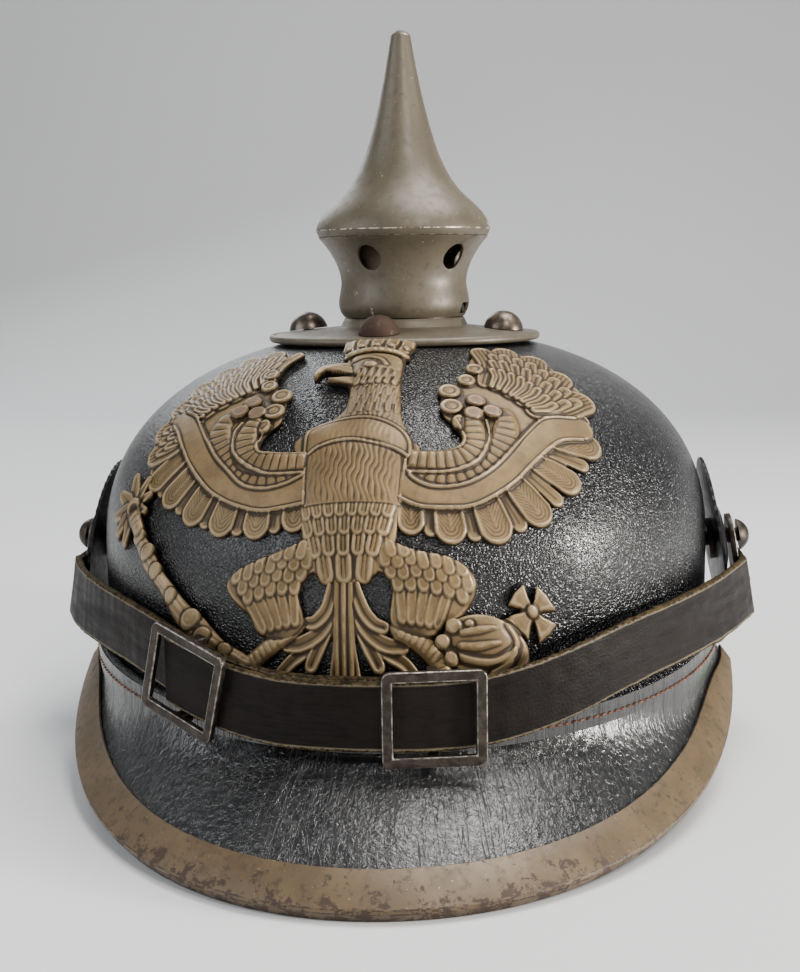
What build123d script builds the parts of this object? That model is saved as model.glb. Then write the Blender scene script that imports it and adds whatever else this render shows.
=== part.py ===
from build123d import *
import os
from math import asin, atan2, cos, degrees, hypot, pi, radians, sin, sqrt

# A leather spiked helmet. Front is -Y, up is +Z, +X is the viewer's right from the front.
# The helmet frame has the spike's axis at x = y = 0 and z = 0 at the height where the visors
# meet the skull's sides. Each finished piece is then moved so that z = 0 is the table.

# Skull
SKULL_HALF_WIDTH = 87.0
SKULL_HALF_LENGTH = 100.0
SKULL_WIDEST_Z = 25.0
DOME_HEIGHT = 59.2
DOME_POWER = 2.3
DOME_STEPS = 16
BOWL_SEAM_TURN = 60.0
LEATHER = 3.0
SKULL_HEM = 6.0
FRONT_HEM_SLOPE = 0.06
REAR_HEM_SLOPE = 0.08
VENT_RADIUS = 12.0

# Visor seam and rims
SEAM_SIDE_Z = -4.0
FRONT_SEAM_DROP = 6.0
REAR_SEAM_DROP = 9.0
UPSTAND = 7.0
VISOR_LEATHER = 2.8
VISOR_EDGE = 2.4
SEW_GAP = 0.2
VISOR_SEAT_GAP = 0.55
VISOR_HEM_GAP = 0.3
RIM_HALF_WIDTH = 95.0
FRONT_REACH = 138.0
REAR_REACH = 130.0
RIM_SIDE_Z = -10.0
RIM_Z = -34.0
RIM_POWER = 1.9
FRONT_RIM_SLOPE = 38.0
REAR_RIM_SLOPE = 42.0
SIDE_RIM_SLOPE = 55.0
BEND_RISE = 1.6
VISOR_END_TURN = 84.0
VISOR_STATIONS = 19

# Trim band folded over the front visor's edge
TRIM_SHEET = 0.8
TRIM_TOP = 9.5
TRIM_UNDER = 6.0
TRIM_GAP = 0.15
TRIM_CORNER = 0.7

# Base plate, in heights over its rim
PLATE_RADIUS = 39.4
PLATE_Z = 83.6
PLATE_ROLL = 1.1
PLATE_SHEET = 1.0
PLATE_CROWN = 2.0
RISER_RADIUS = 18.5
RISER_TOP_RADIUS = 17.4
RISER_HEIGHT = 4.3
BASE_TURN = -9.0

# Bayonet collar and its pins
COLLAR_HEIGHT = 8.0
COLLAR_WALL = 1.2
COLLAR_GAP = 0.3
PIN_RADIUS = 1.1
PIN_PROUD = 2.5
PIN_RISE = 2.4
NOTCH_TURN = 78.0
NOTCH_GAP = 0.5
SPIKE_TURN = 25.0
NOTCH_COUNT = 2
NOTCH_STEPS = 10

# Spike neck, heights over the base plate's rim
NECK_WALL = 1.0
NECK_FOOT_Z = 4.6
NECK_FOOT_RADIUS = 17.4
BEAD_Z = 9.0
BEAD_RADIUS = 19.0
WAIST_Z = 14.3
WAIST_RADIUS = 18.2
NECK_LOW_Z = 17.4
NECK_LOW_RADIUS = 18.6
NECK_MID_Z = 22.1
NECK_MID_RADIUS = 20.6
NECK_HIGH_Z = 25.6
NECK_HIGH_RADIUS = 23.0
NECK_LIP_Z = 27.4
NECK_LIP_RADIUS = 24.6
NECK_VENT_RADIUS = 3.5
NECK_VENT_Z = 21.5
NECK_VENT_COUNT = 5
NECK_VENT_TURN = -14.5

# Spike cone, heights over the base plate's rim and radii there
CONE_WALL = 1.0
CONE_FOOT_Z = 27.5
CONE_FOOT_RADIUS = 24.4
CONE_RIM_Z = 29.4
CONE_RIM_RADIUS = 25.2
CONE_SHOULDER_Z = 32.9
CONE_SHOULDER_RADIUS = 23.8
CONE_SWEEP_Z = 40.1
CONE_SWEEP_RADIUS = 16.9
CONE_LOW_Z = 47.5
CONE_LOW_RADIUS = 12.0
CONE_MID_Z = 58.8
CONE_MID_RADIUS = 8.0
CONE_HIGH_Z = 72.0
CONE_HIGH_RADIUS = 4.9
CONE_TIP_Z = 85.1
CONE_TIP_RADIUS = 2.8
CONE_TIP_ROUND = 1.4

# Domed split brads
BRAD_RING = 29.3
BRAD_RADIUS = 5.7
BRAD_HEIGHT = 5.0
BRAD_SHANK = 1.6
BRAD_GAP = 0.2
BRAD_COUNT = 4
PRONG_LENGTH = 7.0
PRONG_WIDTH = 3.0
PRONG_SHEET = 0.8
WASHER_RADIUS = 6.5
WASHER_THICK = 1.5
INSIDE_GAP = 0.4

# Rear spine
SPINE_WIDTH = 11.0
SPINE_SHEET = 0.9
SPINE_GAP = 0.3
SPINE_TOP_Z = 80.6
SPINE_HOOK = 6.0
SPINE_STUD_Z = 40.0
SPINE_STUD_RADIUS = 4.2
SPINE_STUD_HEIGHT = 3.0

# Side posts, cockades and lugs
POST_Z = 22.0
POST_LEAN = 9.0
POST_RADIUS = 2.0
POST_FLANGE_RADIUS = 6.0
POST_FLANGE = 1.2
POST_KNOB_RADIUS = 4.6
POST_KNOB = 3.2
POST_NUT_ACROSS = 9.0
POST_NUT = 2.6
COCKADE_RADIUS = 24.0
COCKADE_STANDOFF = 2.6
COCKADE_HUB = 3.4
COCKADE_EDGE = 0.8
COCKADE_FLUTES = 48
COCKADE_GAP = 0.3
LUG_SHEET = 1.5
LUG_AIR = 1.4
LUG_RADIUS = 6.5
LUG_LENGTH = 19.0
LUG_FOOT_WIDTH = 12.0
LUG_HOLE_GAP = 0.6
LUG_RIVET_RADIUS = 2.6
LUG_RIVET_SHANK = 1.3
LUG_RIVET_HEAD = 1.0

# Chin strap: a front arc and a wide side arc on each side, seen from above
STRAP_WIDTH = 16.5
STRAP_THICK = 1.8
STRAP_LAYER_GAP = 1.9
STRAP_FRONT_RADIUS = 80.0
STRAP_FRONT_AIR = 6.9
STRAP_ARC_TURN = 48.0
STRAP_SWEEP_TURN = 72.0
STRAP_MERGE_START = 50.0
STRAP_MERGE_END = 70.0
STRAP_END_Y = 7.0
STRAP_OVER_VISOR = 13.2
STRAP_HIGH_Z = 12.0
STRAP_SIDE_Z = 10.2
STRAP_RISE_START = 12.0
STRAP_RISE_END = 58.0
STRAP_STATION_TURN = 4.0
STRAP_LAP_LEFT = -38.5
STRAP_LAP_RIGHT = 17.5

# Buckles
BUCKLE_WIDTH = 24.0
BUCKLE_HEIGHT = 22.4
BUCKLE_BAR = 2.5
BUCKLE_SHEET = 1.6
BUCKLE_CORNER = 2.0
BUCKLE_GAP = 0.35
BUCKLE_PIN = 1.1
BUCKLE_MIDDLE_TURN = 10.0
BUCKLE_LEFT_TURN = -33.0
BUCKLE_LEFT_TILT = 15.0

# Studs at the visor's ends
END_STUD_TURN = 86.0
END_STUD_RADIUS = 4.6
END_STUD_HEIGHT = 3.4
END_STUD_Z = -3.0

# Liner
BAND_THICK = 1.5
BAND_GAP = 0.4
BAND_HEIGHT = 24.0
TONGUE_COUNT = 8
TONGUE_WIDTH = 46.0
TONGUE_TIP_WIDTH = 14.0
TONGUE_THICK = 1.2
TONGUE_TOP_Z = 62.0
TONGUE_TOP_RADIUS = 24.0

# Eagle plate: a tilted drawing plane, laid on the dome
PLATE_LEAN = 35.0
EAGLE_X = -4.0
EAGLE_HEIGHT = 100.0
EAGLE_SHEET = 1.4
EAGLE_RAISE = 1.2
EAGLE_GAP = 0.3
ORB_KEEP = 0.02
CROSS_REACH = 4.6
CROSS_HUB = 1.5
LOOP_WIRE = 0.8
LOOP_WIDTH = 7.0
LOOP_DROP = 8.0
LOOP_X = 32.0
LOOP_Z = 55.0
WEDGE_LENGTH = 22.0
WEDGE_THICK = 3.6
WEDGE_TAPER = 1.4
WEDGE_DROP = 1.6

OVERRUN = 2.0
QUARTER_TURN = 90.0
FULL_TURN = 360.0
HEIGHT_HALVINGS = 30

AXIS_Y = (FRONT_REACH - REAR_REACH) / 2
TABLE_Z = -RIM_Z
COLLAR_RADIUS = NECK_FOOT_RADIUS - NECK_WALL - COLLAR_GAP
PIN_Z = NECK_FOOT_Z + PIN_RISE
LUG_SEAT = COCKADE_STANDOFF + COCKADE_HUB + LUG_AIR
STRAP_FRONT_Y = SKULL_HALF_LENGTH + STRAP_FRONT_AIR
STRAP_LAYER = STRAP_THICK + STRAP_LAYER_GAP
STRAP_LIFT = LUG_SEAT + LUG_SHEET + SEW_GAP + STRAP_THICK / 2
STRAP_DROP = (POST_Z + STRAP_LIFT * sin(radians(POST_LEAN)) - STRAP_SIDE_Z) / cos(radians(POST_LEAN))
STRAP_SIDE_X = (SKULL_HALF_WIDTH + STRAP_LIFT * cos(radians(POST_LEAN))
                + STRAP_DROP * sin(radians(POST_LEAN)))


# Shapes of the skull

def dome_z(x, y, offset):
    """Height of the bowl's surface over a place, for a wall moved out by the offset."""
    across = x / (SKULL_HALF_WIDTH + offset)
    along = y / (SKULL_HALF_LENGTH + offset)
    share = min(1, hypot(across, along))
    return SKULL_WIDEST_Z + (DOME_HEIGHT + offset) * (1 - share**DOME_POWER) ** (1 / DOME_POWER)


def dome_share(z, offset):
    """Share of the widest level's width that the bowl keeps at a height."""
    rise = max(0, (z - SKULL_WIDEST_Z) / (DOME_HEIGHT + offset))
    return (1 - rise**DOME_POWER) ** (1 / DOME_POWER)


def bowl(width, length, height, foot_z):
    """Closed bowl: a vertical wall under the widest level and a dome over it."""
    points = []
    for step in range(DOME_STEPS + 1):
        turn = pi / 2 * step / DOME_STEPS
        points.append((width * cos(turn) ** (2 / DOME_POWER), 0,
                       SKULL_WIDEST_Z + height * sin(turn) ** (2 / DOME_POWER)))
    points[-1] = (0, 0, SKULL_WIDEST_Z + height)
    wall = Line((width, 0, foot_z), points[0])
    arch = Spline(*points, tangents=[(0, 0, 1), (-1, 0, 0)])
    middle = Line(points[-1], (0, 0, foot_z))
    floor = Line((0, 0, foot_z), (width, 0, foot_z))
    round_bowl = revolve(make_face(wall + arch + middle + floor), Axis.Z)
    return scale(Rot(0, 0, BOWL_SEAM_TURN) * round_bowl, by=(1, length / width, 1))


def skull_form(offset):
    return bowl(SKULL_HALF_WIDTH + offset, SKULL_HALF_LENGTH + offset, DOME_HEIGHT + offset, RIM_Z)


def skull_shell(outer_offset, inner_offset):
    return skull_form(outer_offset) - skull_form(inner_offset)


def under_hem(raise_z):
    """Block under the skull's lower edge, which drops from the sides to the front and the back."""
    far = 2 * FRONT_REACH
    top = SEAM_SIDE_Z - SKULL_HEM + raise_z
    corners = [
        (-far, top - FRONT_HEM_SLOPE * far),
        (0, top),
        (far, top - REAR_HEM_SLOPE * far),
        (far, -far),
        (-far, -far),
    ]
    side = make_face(Polyline(*[(0, y, z) for y, z in corners], close=True))
    return extrude(side, far, dir=(1, 0, 0), both=True)


def upright(x, y, radius, low_z, high_z):
    """Upright cylinder between two heights."""
    return Pos(x, y, (low_z + high_z) / 2) * Cylinder(radius, high_z - low_z)


def plate_top(radius):
    """Height of the base plate's top over its rim."""
    outer = PLATE_RADIUS - 2 * PLATE_ROLL
    return PLATE_CROWN * (outer - radius) / (outer - RISER_RADIUS)


def brad_places():
    """Places on the base plate's top, square to its slope, with X pointing away from the middle."""
    places = []
    slope = degrees(atan2(PLATE_CROWN, PLATE_RADIUS - 2 * PLATE_ROLL - RISER_RADIUS))
    for step in range(BRAD_COUNT):
        turn = BASE_TURN - QUARTER_TURN + FULL_TURN * step / BRAD_COUNT
        seat = Pos(BRAD_RING, 0, PLATE_Z + plate_top(BRAD_RING))
        places.append(Rot(0, 0, turn) * seat * Rot(0, slope, 0))
    return places


def make_skull():
    shell = skull_shell(0, -LEATHER) - under_hem(0)
    shell -= upright(0, 0, VENT_RADIUS, SKULL_WIDEST_Z, PLATE_Z + OVERRUN)
    for place in brad_places():
        shell -= place * Cylinder(BRAD_SHANK + BRAD_GAP, 8 * LEATHER)
    for side in (1, -1):
        hole = Pos(side * SKULL_HALF_WIDTH, 0, POST_Z) * Rot(0, side * (QUARTER_TURN - POST_LEAN), 0)
        shell -= hole * Cylinder(POST_RADIUS + BRAD_GAP, 4 * LEATHER)
        shell -= end_stud_place(side) * Cylinder(BRAD_SHANK + BRAD_GAP, 4 * LEATHER)
    shell -= spine_stud_place() * Cylinder(BRAD_SHANK + BRAD_GAP, 4 * LEATHER)
    for place in loop_places():
        slot = 2 * LOOP_WIRE + 2 * BRAD_GAP
        shell -= place * Box(LOOP_WIDTH + slot, slot, 6 * LEATHER)
    return shell


# Visors and trim, drawn as sections square to the skull's side

def seam_z(turn, front):
    drop = FRONT_SEAM_DROP if front else REAR_SEAM_DROP
    return SEAM_SIDE_Z - drop * cos(radians(turn))


def seam_point(turn, front):
    """Point on the skull's outline and the outward direction there."""
    way = -1 if front else 1
    x = SKULL_HALF_WIDTH * sin(radians(turn))
    y = way * SKULL_HALF_LENGTH * cos(radians(turn))
    across = x / SKULL_HALF_WIDTH**2
    along = y / SKULL_HALF_LENGTH**2
    size = hypot(across, along)
    return x, y, across / size, along / size


def section_plane(turn, front):
    x, y, out_x, out_y = seam_point(turn, front)
    return Plane(origin=(x, y, 0), x_dir=(out_x, out_y, 0), z_dir=(out_y, -out_x, 0))


def rim_reach(turn, front):
    """Distance from the skull to the rim's ellipse along the outward direction."""
    x, y, out_x, out_y = seam_point(turn, front)
    reach = FRONT_REACH if front else REAR_REACH
    a = (out_x / RIM_HALF_WIDTH) ** 2 + (out_y / reach) ** 2
    b = 2 * (x * out_x / RIM_HALF_WIDTH**2 + y * out_y / reach**2)
    c = (x / RIM_HALF_WIDTH) ** 2 + (y / reach) ** 2 - 1
    return (-b + sqrt(b * b - 4 * a * c)) / (2 * a)


def rim_z(turn, front):
    x, y, out_x, out_y = seam_point(turn, front)
    reach = FRONT_REACH if front else REAR_REACH
    share = abs(y + out_y * rim_reach(turn, front)) / reach
    return RIM_SIDE_Z + (RIM_Z - RIM_SIDE_Z) * (1 - (1 - share) ** RIM_POWER)


class VisorLine:
    """Middle line of a visor's section: a curve from the seam to the leather's edge."""

    def __init__(self, turn, front):
        wrap = TRIM_GAP + TRIM_SHEET if front else SPINE_GAP + SPINE_SHEET
        front_slope = FRONT_RIM_SLOPE if front else REAR_RIM_SLOPE
        slope = SIDE_RIM_SLOPE + (front_slope - SIDE_RIM_SLOPE) * cos(radians(turn))
        self.down = (cos(radians(slope)), -sin(radians(slope)))
        self.up = (-self.down[1], self.down[0])
        half = VISOR_EDGE / 2 + wrap
        low = TRIM_CORNER * min(self.up[0], self.up[1]) if front else 0
        self.start = (VISOR_SEAT_GAP + VISOR_LEATHER / 2, seam_z(turn, front))
        self.end = (rim_reach(turn, front) - wrap * self.down[0] - half * self.up[0],
                    rim_z(turn, front) - wrap * self.down[1] + half * self.up[1] - low)
        whole = hypot(self.end[0] - self.start[0], self.end[1] - self.start[1])
        self.flat = min(TRIM_TOP, EDGE_SHARE * whole)
        self.knee = self.off_edge(-self.flat, 0)
        span = hypot(self.knee[0] - self.start[0], self.knee[1] - self.start[1])
        self.bend = (self.knee[0] - self.down[0] * span / 2, self.knee[1] - self.down[1] * span / 2)

    def at(self, share, lift):
        """Point at a share of the curve before the flat edge, lifted square to it."""
        keep = 1 - share
        point = []
        slant = []
        for a, b, c in zip(self.start, self.bend, self.knee):
            point.append(keep * keep * a + 2 * keep * share * b + share * share * c)
            slant.append(keep * (b - a) + share * (c - b))
        size = hypot(*slant)
        return (point[0] - slant[1] / size * lift, point[1] + slant[0] / size * lift)

    def off_edge(self, along, lift):
        """Point measured from the leather's edge, along the slope and square to it."""
        return (self.end[0] + self.down[0] * along + self.up[0] * lift,
                self.end[1] + self.down[1] * along + self.up[1] * lift)


VISOR_SHARES = (0.25, 0.5, 0.75, 1)
EDGE_SHARE = 0.6


def visor_section(turn, front):
    line = VisorLine(turn, front)
    seam = seam_z(turn, front)
    inner = VISOR_SEAT_GAP
    outer = VISOR_SEAT_GAP + VISOR_LEATHER
    half = VISOR_EDGE / 2
    top = [(outer, seam + BEND_RISE)] + [line.at(share, half) for share in VISOR_SHARES]
    under = [line.at(share, -half) for share in reversed(VISOR_SHARES)]
    under = [(max(VISOR_HEM_GAP, out), z) for out, z in under] + [(inner, seam - BEND_RISE)]
    outline = Line((inner, seam + UPSTAND), (outer, seam + UPSTAND))
    outline += Line((outer, seam + UPSTAND), top[0])
    outline += Spline(*top)
    outline += Polyline(top[-1], line.off_edge(0, half), line.off_edge(0, -half), under[0])
    outline += Spline(*under)
    outline += Line(under[-1], (inner, seam + UPSTAND))
    return section_plane(turn, front) * make_face(outline)


def trim_section(turn):
    line = VisorLine(turn, True)
    half = VISOR_EDGE / 2 + TRIM_GAP
    wrap = half + TRIM_SHEET
    tip = TRIM_GAP + TRIM_SHEET
    corner = TRIM_CORNER
    under = line.flat * TRIM_UNDER / TRIM_TOP
    points = [
        line.off_edge(-line.flat, half),
        line.off_edge(-line.flat, wrap),
        line.off_edge(tip - corner, wrap),
        line.off_edge(tip, wrap - corner),
        line.off_edge(tip, corner - wrap),
        line.off_edge(tip - corner, -wrap),
        line.off_edge(-under, -wrap),
        line.off_edge(-under, -half),
        line.off_edge(TRIM_GAP, -half),
        line.off_edge(TRIM_GAP, half),
    ]
    return section_plane(turn, True) * make_face(Polyline(*points, close=True))


def stations():
    return [VISOR_END_TURN * (2 * step / (VISOR_STATIONS - 1) - 1) for step in range(VISOR_STATIONS)]


def make_visor(front):
    visor = loft([visor_section(turn, front) for turn in stations()])
    if front:
        for side in (1, -1):
            visor -= end_stud_place(side) * Cylinder(BRAD_SHANK + BRAD_GAP, 4 * LEATHER)
    return visor


def make_trim():
    return loft([trim_section(turn) for turn in stations()])


# Small turned and bent parts

def turned(points):
    """Solid turned round the upright axis from an outline of radius and height."""
    return revolve(make_face(Polyline(*[(r, 0, z) for r, z in points], close=True)), Axis.Z)


def cap_arc(radius, height, foot_z):
    """Arc from a rim up to the axis, square to the axis at its top."""
    ball = (radius**2 + height**2) / (2 * height)
    turn = asin(radius / ball) / 2
    if height > radius:
        turn = (pi - asin(radius / ball)) / 2
    middle = (ball * sin(turn), 0, foot_z + height - ball + ball * cos(turn))
    return ThreePointArc((radius, 0, foot_z), middle, (0, 0, foot_z + height))


def dome_cap(radius, height):
    """Round head that stands on z = 0."""
    outline = Line((0, 0, 0), (radius, 0, 0)) + cap_arc(radius, height, 0) + Line((0, 0, height), (0, 0, 0))
    return revolve(make_face(outline), Axis.Z)


def bent_strip(path, thickness, width):
    """Strip bent along a path in the Y-Z plane, thickened to the path's left side."""
    moved = []
    for step, point in enumerate(path):
        before = path[max(0, step - 1)]
        after = path[min(len(path) - 1, step + 1)]
        sides = []
        for a, b in ((before, point), (point, after)):
            size = hypot(b[0] - a[0], b[1] - a[1])
            if size > 0:
                sides.append(((a[1] - b[1]) / size, (b[0] - a[0]) / size))
        normal = (sum(s[0] for s in sides), sum(s[1] for s in sides))
        size = hypot(*normal)
        normal = (normal[0] / size, normal[1] / size)
        mitre = normal[0] * sides[0][0] + normal[1] * sides[0][1]
        moved.append((point[0] + normal[0] * thickness / mitre, point[1] + normal[1] * thickness / mitre))
    outline = list(path) + moved[::-1]
    face = make_face(Polyline(*[(0, y, z) for y, z in outline], close=True))
    return extrude(face, width / 2, dir=(1, 0, 0), both=True)


# Rear spine and its stud

def spine_stud_place():
    share = dome_share(SPINE_STUD_Z, 0)
    below = dome_share(SPINE_STUD_Z - LEATHER, 0)
    above = dome_share(SPINE_STUD_Z + LEATHER, 0)
    lean = degrees(atan2(SKULL_HALF_LENGTH * (below - above), 2 * LEATHER))
    return Pos(0, SKULL_HALF_LENGTH * share, SPINE_STUD_Z) * Rot(lean - QUARTER_TURN, 0, 0)


def make_rear_spine():
    line = VisorLine(0, False)
    seam = seam_z(0, False)
    lift = VISOR_EDGE / 2 + SPINE_GAP
    outer = VISOR_SEAT_GAP + VISOR_LEATHER + SPINE_GAP
    shoulder = seam + UPSTAND
    path = [(SPINE_GAP, shoulder + 2 * VISOR_LEATHER), (SPINE_GAP, shoulder + VISOR_LEATHER),
            (outer, shoulder + SPINE_GAP), (outer, seam + BEND_RISE)]
    path += [line.at(share, lift) for share in VISOR_SHARES]
    path += [line.off_edge(SPINE_GAP, lift), line.off_edge(SPINE_GAP, -lift), line.off_edge(-SPINE_HOOK, -lift)]
    lower = bent_strip([(SKULL_HALF_LENGTH + out, z) for out, z in path], SPINE_SHEET, SPINE_WIDTH)
    upper = skull_shell(SPINE_GAP + SPINE_SHEET, SPINE_GAP)
    start_y = PLATE_RADIUS + SPINE_GAP
    low_z = shoulder + VISOR_LEATHER
    block = Pos(0, start_y + SKULL_HALF_LENGTH / 2, (low_z + PLATE_Z) / 2)
    upper &= block * Box(SPINE_WIDTH, SKULL_HALF_LENGTH, PLATE_Z - low_z)
    spine = upper + lower
    return spine - spine_stud_place() * Cylinder(BRAD_SHANK + BRAD_GAP, 4 * LEATHER)


def make_spine_stud():
    seat = SPINE_GAP + SPINE_SHEET + SEW_GAP
    inside = -LEATHER - 2 * INSIDE_GAP
    stud = Pos(0, 0, seat) * dome_cap(SPINE_STUD_RADIUS, SPINE_STUD_HEIGHT)
    stud += upright(0, 0, BRAD_SHANK, inside - PRONG_SHEET, seat)
    stud += Pos(0, 0, inside - PRONG_SHEET / 2) * Box(2 * PRONG_LENGTH, PRONG_WIDTH, PRONG_SHEET)
    return spine_stud_place() * stud


# Base plate, collar and brads

def make_base_plate():
    roll = PLATE_RADIUS - PLATE_ROLL
    outer = PLATE_RADIUS - 2 * PLATE_ROLL
    inner = COLLAR_RADIUS - COLLAR_WALL
    sheet = turned([
        (roll, -PLATE_ROLL / 2),
        (outer, plate_top(outer)),
        (RISER_RADIUS, plate_top(RISER_RADIUS)),
        (RISER_TOP_RADIUS, RISER_HEIGHT),
        (inner, RISER_HEIGHT),
        (inner, RISER_HEIGHT - PLATE_SHEET),
        (RISER_TOP_RADIUS - PLATE_SHEET, RISER_HEIGHT - PLATE_SHEET),
        (RISER_RADIUS - PLATE_SHEET, plate_top(RISER_RADIUS) - PLATE_SHEET),
        (outer, plate_top(outer) - PLATE_SHEET),
        (roll, -PLATE_ROLL / 2 - PLATE_SHEET),
    ])
    ring = Pos(0, 0, -PLATE_ROLL) * Torus(roll, PLATE_ROLL)
    plate = sheet + ring
    plate = Pos(0, 0, PLATE_Z) * plate
    for place in brad_places():
        plate -= place * Cylinder(BRAD_SHANK + BRAD_GAP, 8 * PLATE_SHEET)
    return plate


def make_bayonet_collar():
    collar = upright(0, 0, COLLAR_RADIUS, RISER_HEIGHT, RISER_HEIGHT + COLLAR_HEIGHT)
    collar -= upright(0, 0, COLLAR_RADIUS - COLLAR_WALL, 0, CONE_FOOT_Z)
    for step in range(NOTCH_COUNT):
        turn = NOTCH_TURN + BASE_TURN + FULL_TURN * step / NOTCH_COUNT
        pin = Pos(COLLAR_RADIUS + (PIN_PROUD - COLLAR_WALL / 2) / 2, 0, PIN_Z)
        pin *= Rot(0, 90, 0) * Cylinder(PIN_RADIUS, PIN_PROUD + COLLAR_WALL / 2)
        collar += Rot(0, 0, turn - QUARTER_TURN) * pin
    return Pos(0, 0, PLATE_Z) * collar


def washer_depth(place):
    """Depth under a stud's seat where a washer just clears the bowl's inner face."""
    depths = []
    for x, y in ((WASHER_RADIUS, 0), (-WASHER_RADIUS, 0), (0, WASHER_RADIUS), (0, -WASHER_RADIUS)):
        rim = (place * Pos(x, y, 0)).position
        depths.append(rim.Z - dome_z(rim.X, rim.Y, -LEATHER))
    return max(depths) + INSIDE_GAP


def make_base_studs():
    studs = []
    for place in brad_places():
        prong_top = -washer_depth(place) - WASHER_THICK - SEW_GAP
        stud = Pos(0, 0, SEW_GAP) * dome_cap(BRAD_RADIUS, BRAD_HEIGHT)
        stud += upright(0, 0, BRAD_SHANK, prong_top - PRONG_SHEET, SEW_GAP)
        stud += Pos(0, 0, prong_top - PRONG_SHEET / 2) * Box(PRONG_WIDTH, 2 * PRONG_LENGTH, PRONG_SHEET)
        studs.append(place * stud)
    return studs


def make_stud_washers():
    washers = []
    for place in brad_places():
        top = -washer_depth(place)
        washer = upright(0, 0, WASHER_RADIUS, top - WASHER_THICK, top)
        washer -= upright(0, 0, BRAD_SHANK + BRAD_GAP, top - 2 * WASHER_THICK, top + WASHER_THICK)
        washers.append(place * washer)
    return washers


# Spike

def make_spike_neck():
    outline = [
        (NECK_FOOT_RADIUS, NECK_FOOT_Z),
        (BEAD_RADIUS, BEAD_Z),
        (WAIST_RADIUS, WAIST_Z),
        (NECK_LOW_RADIUS, NECK_LOW_Z),
        (NECK_MID_RADIUS, NECK_MID_Z),
        (NECK_HIGH_RADIUS, NECK_HIGH_Z),
        (NECK_LIP_RADIUS, NECK_LIP_Z),
    ]
    outer = [(r, 0, z) for r, z in outline]
    inner = [(r - NECK_WALL, 0, z) for r, z in reversed(outline)]
    walls = Spline(*outer) + Line(outer[-1], inner[0]) + Spline(*inner) + Line(inner[-1], outer[0])
    neck = revolve(make_face(walls), Axis.Z)
    for step in range(NECK_VENT_COUNT):
        turn = NECK_VENT_TURN + BASE_TURN + FULL_TURN * step / NECK_VENT_COUNT
        drill = Pos(NECK_MID_RADIUS, 0, NECK_VENT_Z) * Rot(0, 90, 0)
        neck -= Rot(0, 0, turn - QUARTER_TURN) * drill * Cylinder(NECK_VENT_RADIUS, NECK_MID_RADIUS)
    slot = PIN_RADIUS + NOTCH_GAP
    mouth = PIN_Z + slot - NECK_FOOT_Z + OVERRUN
    for step in range(NOTCH_COUNT):
        turn = NOTCH_TURN + BASE_TURN + FULL_TURN * step / NOTCH_COUNT - QUARTER_TURN
        wall = Box(BEAD_RADIUS, 2 * slot, mouth)
        entry = Pos(BEAD_RADIUS, 0, PIN_Z + slot - mouth / 2) * wall
        neck -= Rot(0, 0, turn + SPIKE_TURN) * entry
        arc_step = SPIKE_TURN / NOTCH_STEPS
        for part in range(NOTCH_STEPS + 1):
            seat = Pos(BEAD_RADIUS, 0, PIN_Z) * Rot(0, 90, 0) * Cylinder(slot, BEAD_RADIUS)
            neck -= Rot(0, 0, turn + arc_step * part) * seat
    return Pos(0, 0, PLATE_Z) * neck


def make_spike_cone():
    outline = [
        (CONE_RIM_RADIUS, CONE_RIM_Z),
        (CONE_SHOULDER_RADIUS, CONE_SHOULDER_Z),
        (CONE_SWEEP_RADIUS, CONE_SWEEP_Z),
        (CONE_LOW_RADIUS, CONE_LOW_Z),
        (CONE_MID_RADIUS, CONE_MID_Z),
        (CONE_HIGH_RADIUS, CONE_HIGH_Z),
        (CONE_TIP_RADIUS, CONE_TIP_Z - CONE_TIP_ROUND),
    ]
    outer = [(r, 0, z) for r, z in outline]
    inner = [(r - CONE_WALL, 0, z) for r, z in reversed(outline[:-1])]
    floor_z = CONE_FOOT_Z + CONE_WALL
    hub = NECK_HIGH_RADIUS - 4 * NECK_WALL
    walls = Spline(*outer)
    walls += cap_arc(CONE_TIP_RADIUS, CONE_TIP_ROUND, CONE_TIP_Z - CONE_TIP_ROUND)
    walls += Line((0, 0, CONE_TIP_Z), (0, 0, CONE_HIGH_Z + CONE_TIP_RADIUS))
    walls += Line((0, 0, CONE_HIGH_Z + CONE_TIP_RADIUS), inner[0])
    walls += Spline(*inner)
    walls += Polyline(inner[-1], (CONE_FOOT_RADIUS - CONE_WALL, 0, floor_z), (hub, 0, floor_z),
                      (hub, 0, CONE_FOOT_Z), (CONE_FOOT_RADIUS, 0, CONE_FOOT_Z), outer[0])
    return Pos(0, 0, PLATE_Z) * revolve(make_face(walls), Axis.Z)


# Side posts, cockades and lugs, made for the viewer's right and mirrored for the left

def post_place():
    return Pos(SKULL_HALF_WIDTH, 0, POST_Z) * Rot(0, QUARTER_TURN - POST_LEAN, 0) * Rot(0, 0, 90)


def make_side_post():
    knob_low = LUG_SEAT + LUG_SHEET + LUG_AIR
    nut_high = -LEATHER - INSIDE_GAP - POST_FLANGE * sin(radians(POST_LEAN))
    post = upright(0, 0, POST_RADIUS, nut_high - POST_NUT - POST_FLANGE, knob_low)
    post += upright(0, 0, POST_FLANGE_RADIUS, POST_FLANGE, 2 * POST_FLANGE)
    post += Pos(0, 0, knob_low) * dome_cap(POST_KNOB_RADIUS, POST_KNOB)
    return post_place() * post


def make_post_nut():
    high = -LEATHER - POST_FLANGE
    nut = Pos(0, 0, high - POST_NUT) * extrude(RegularPolygon(POST_NUT_ACROSS / 2, 6, major_radius=False), POST_NUT)
    nut -= Cylinder(POST_RADIUS + SEW_GAP, 8 * POST_NUT)
    return post_place() * nut


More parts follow.
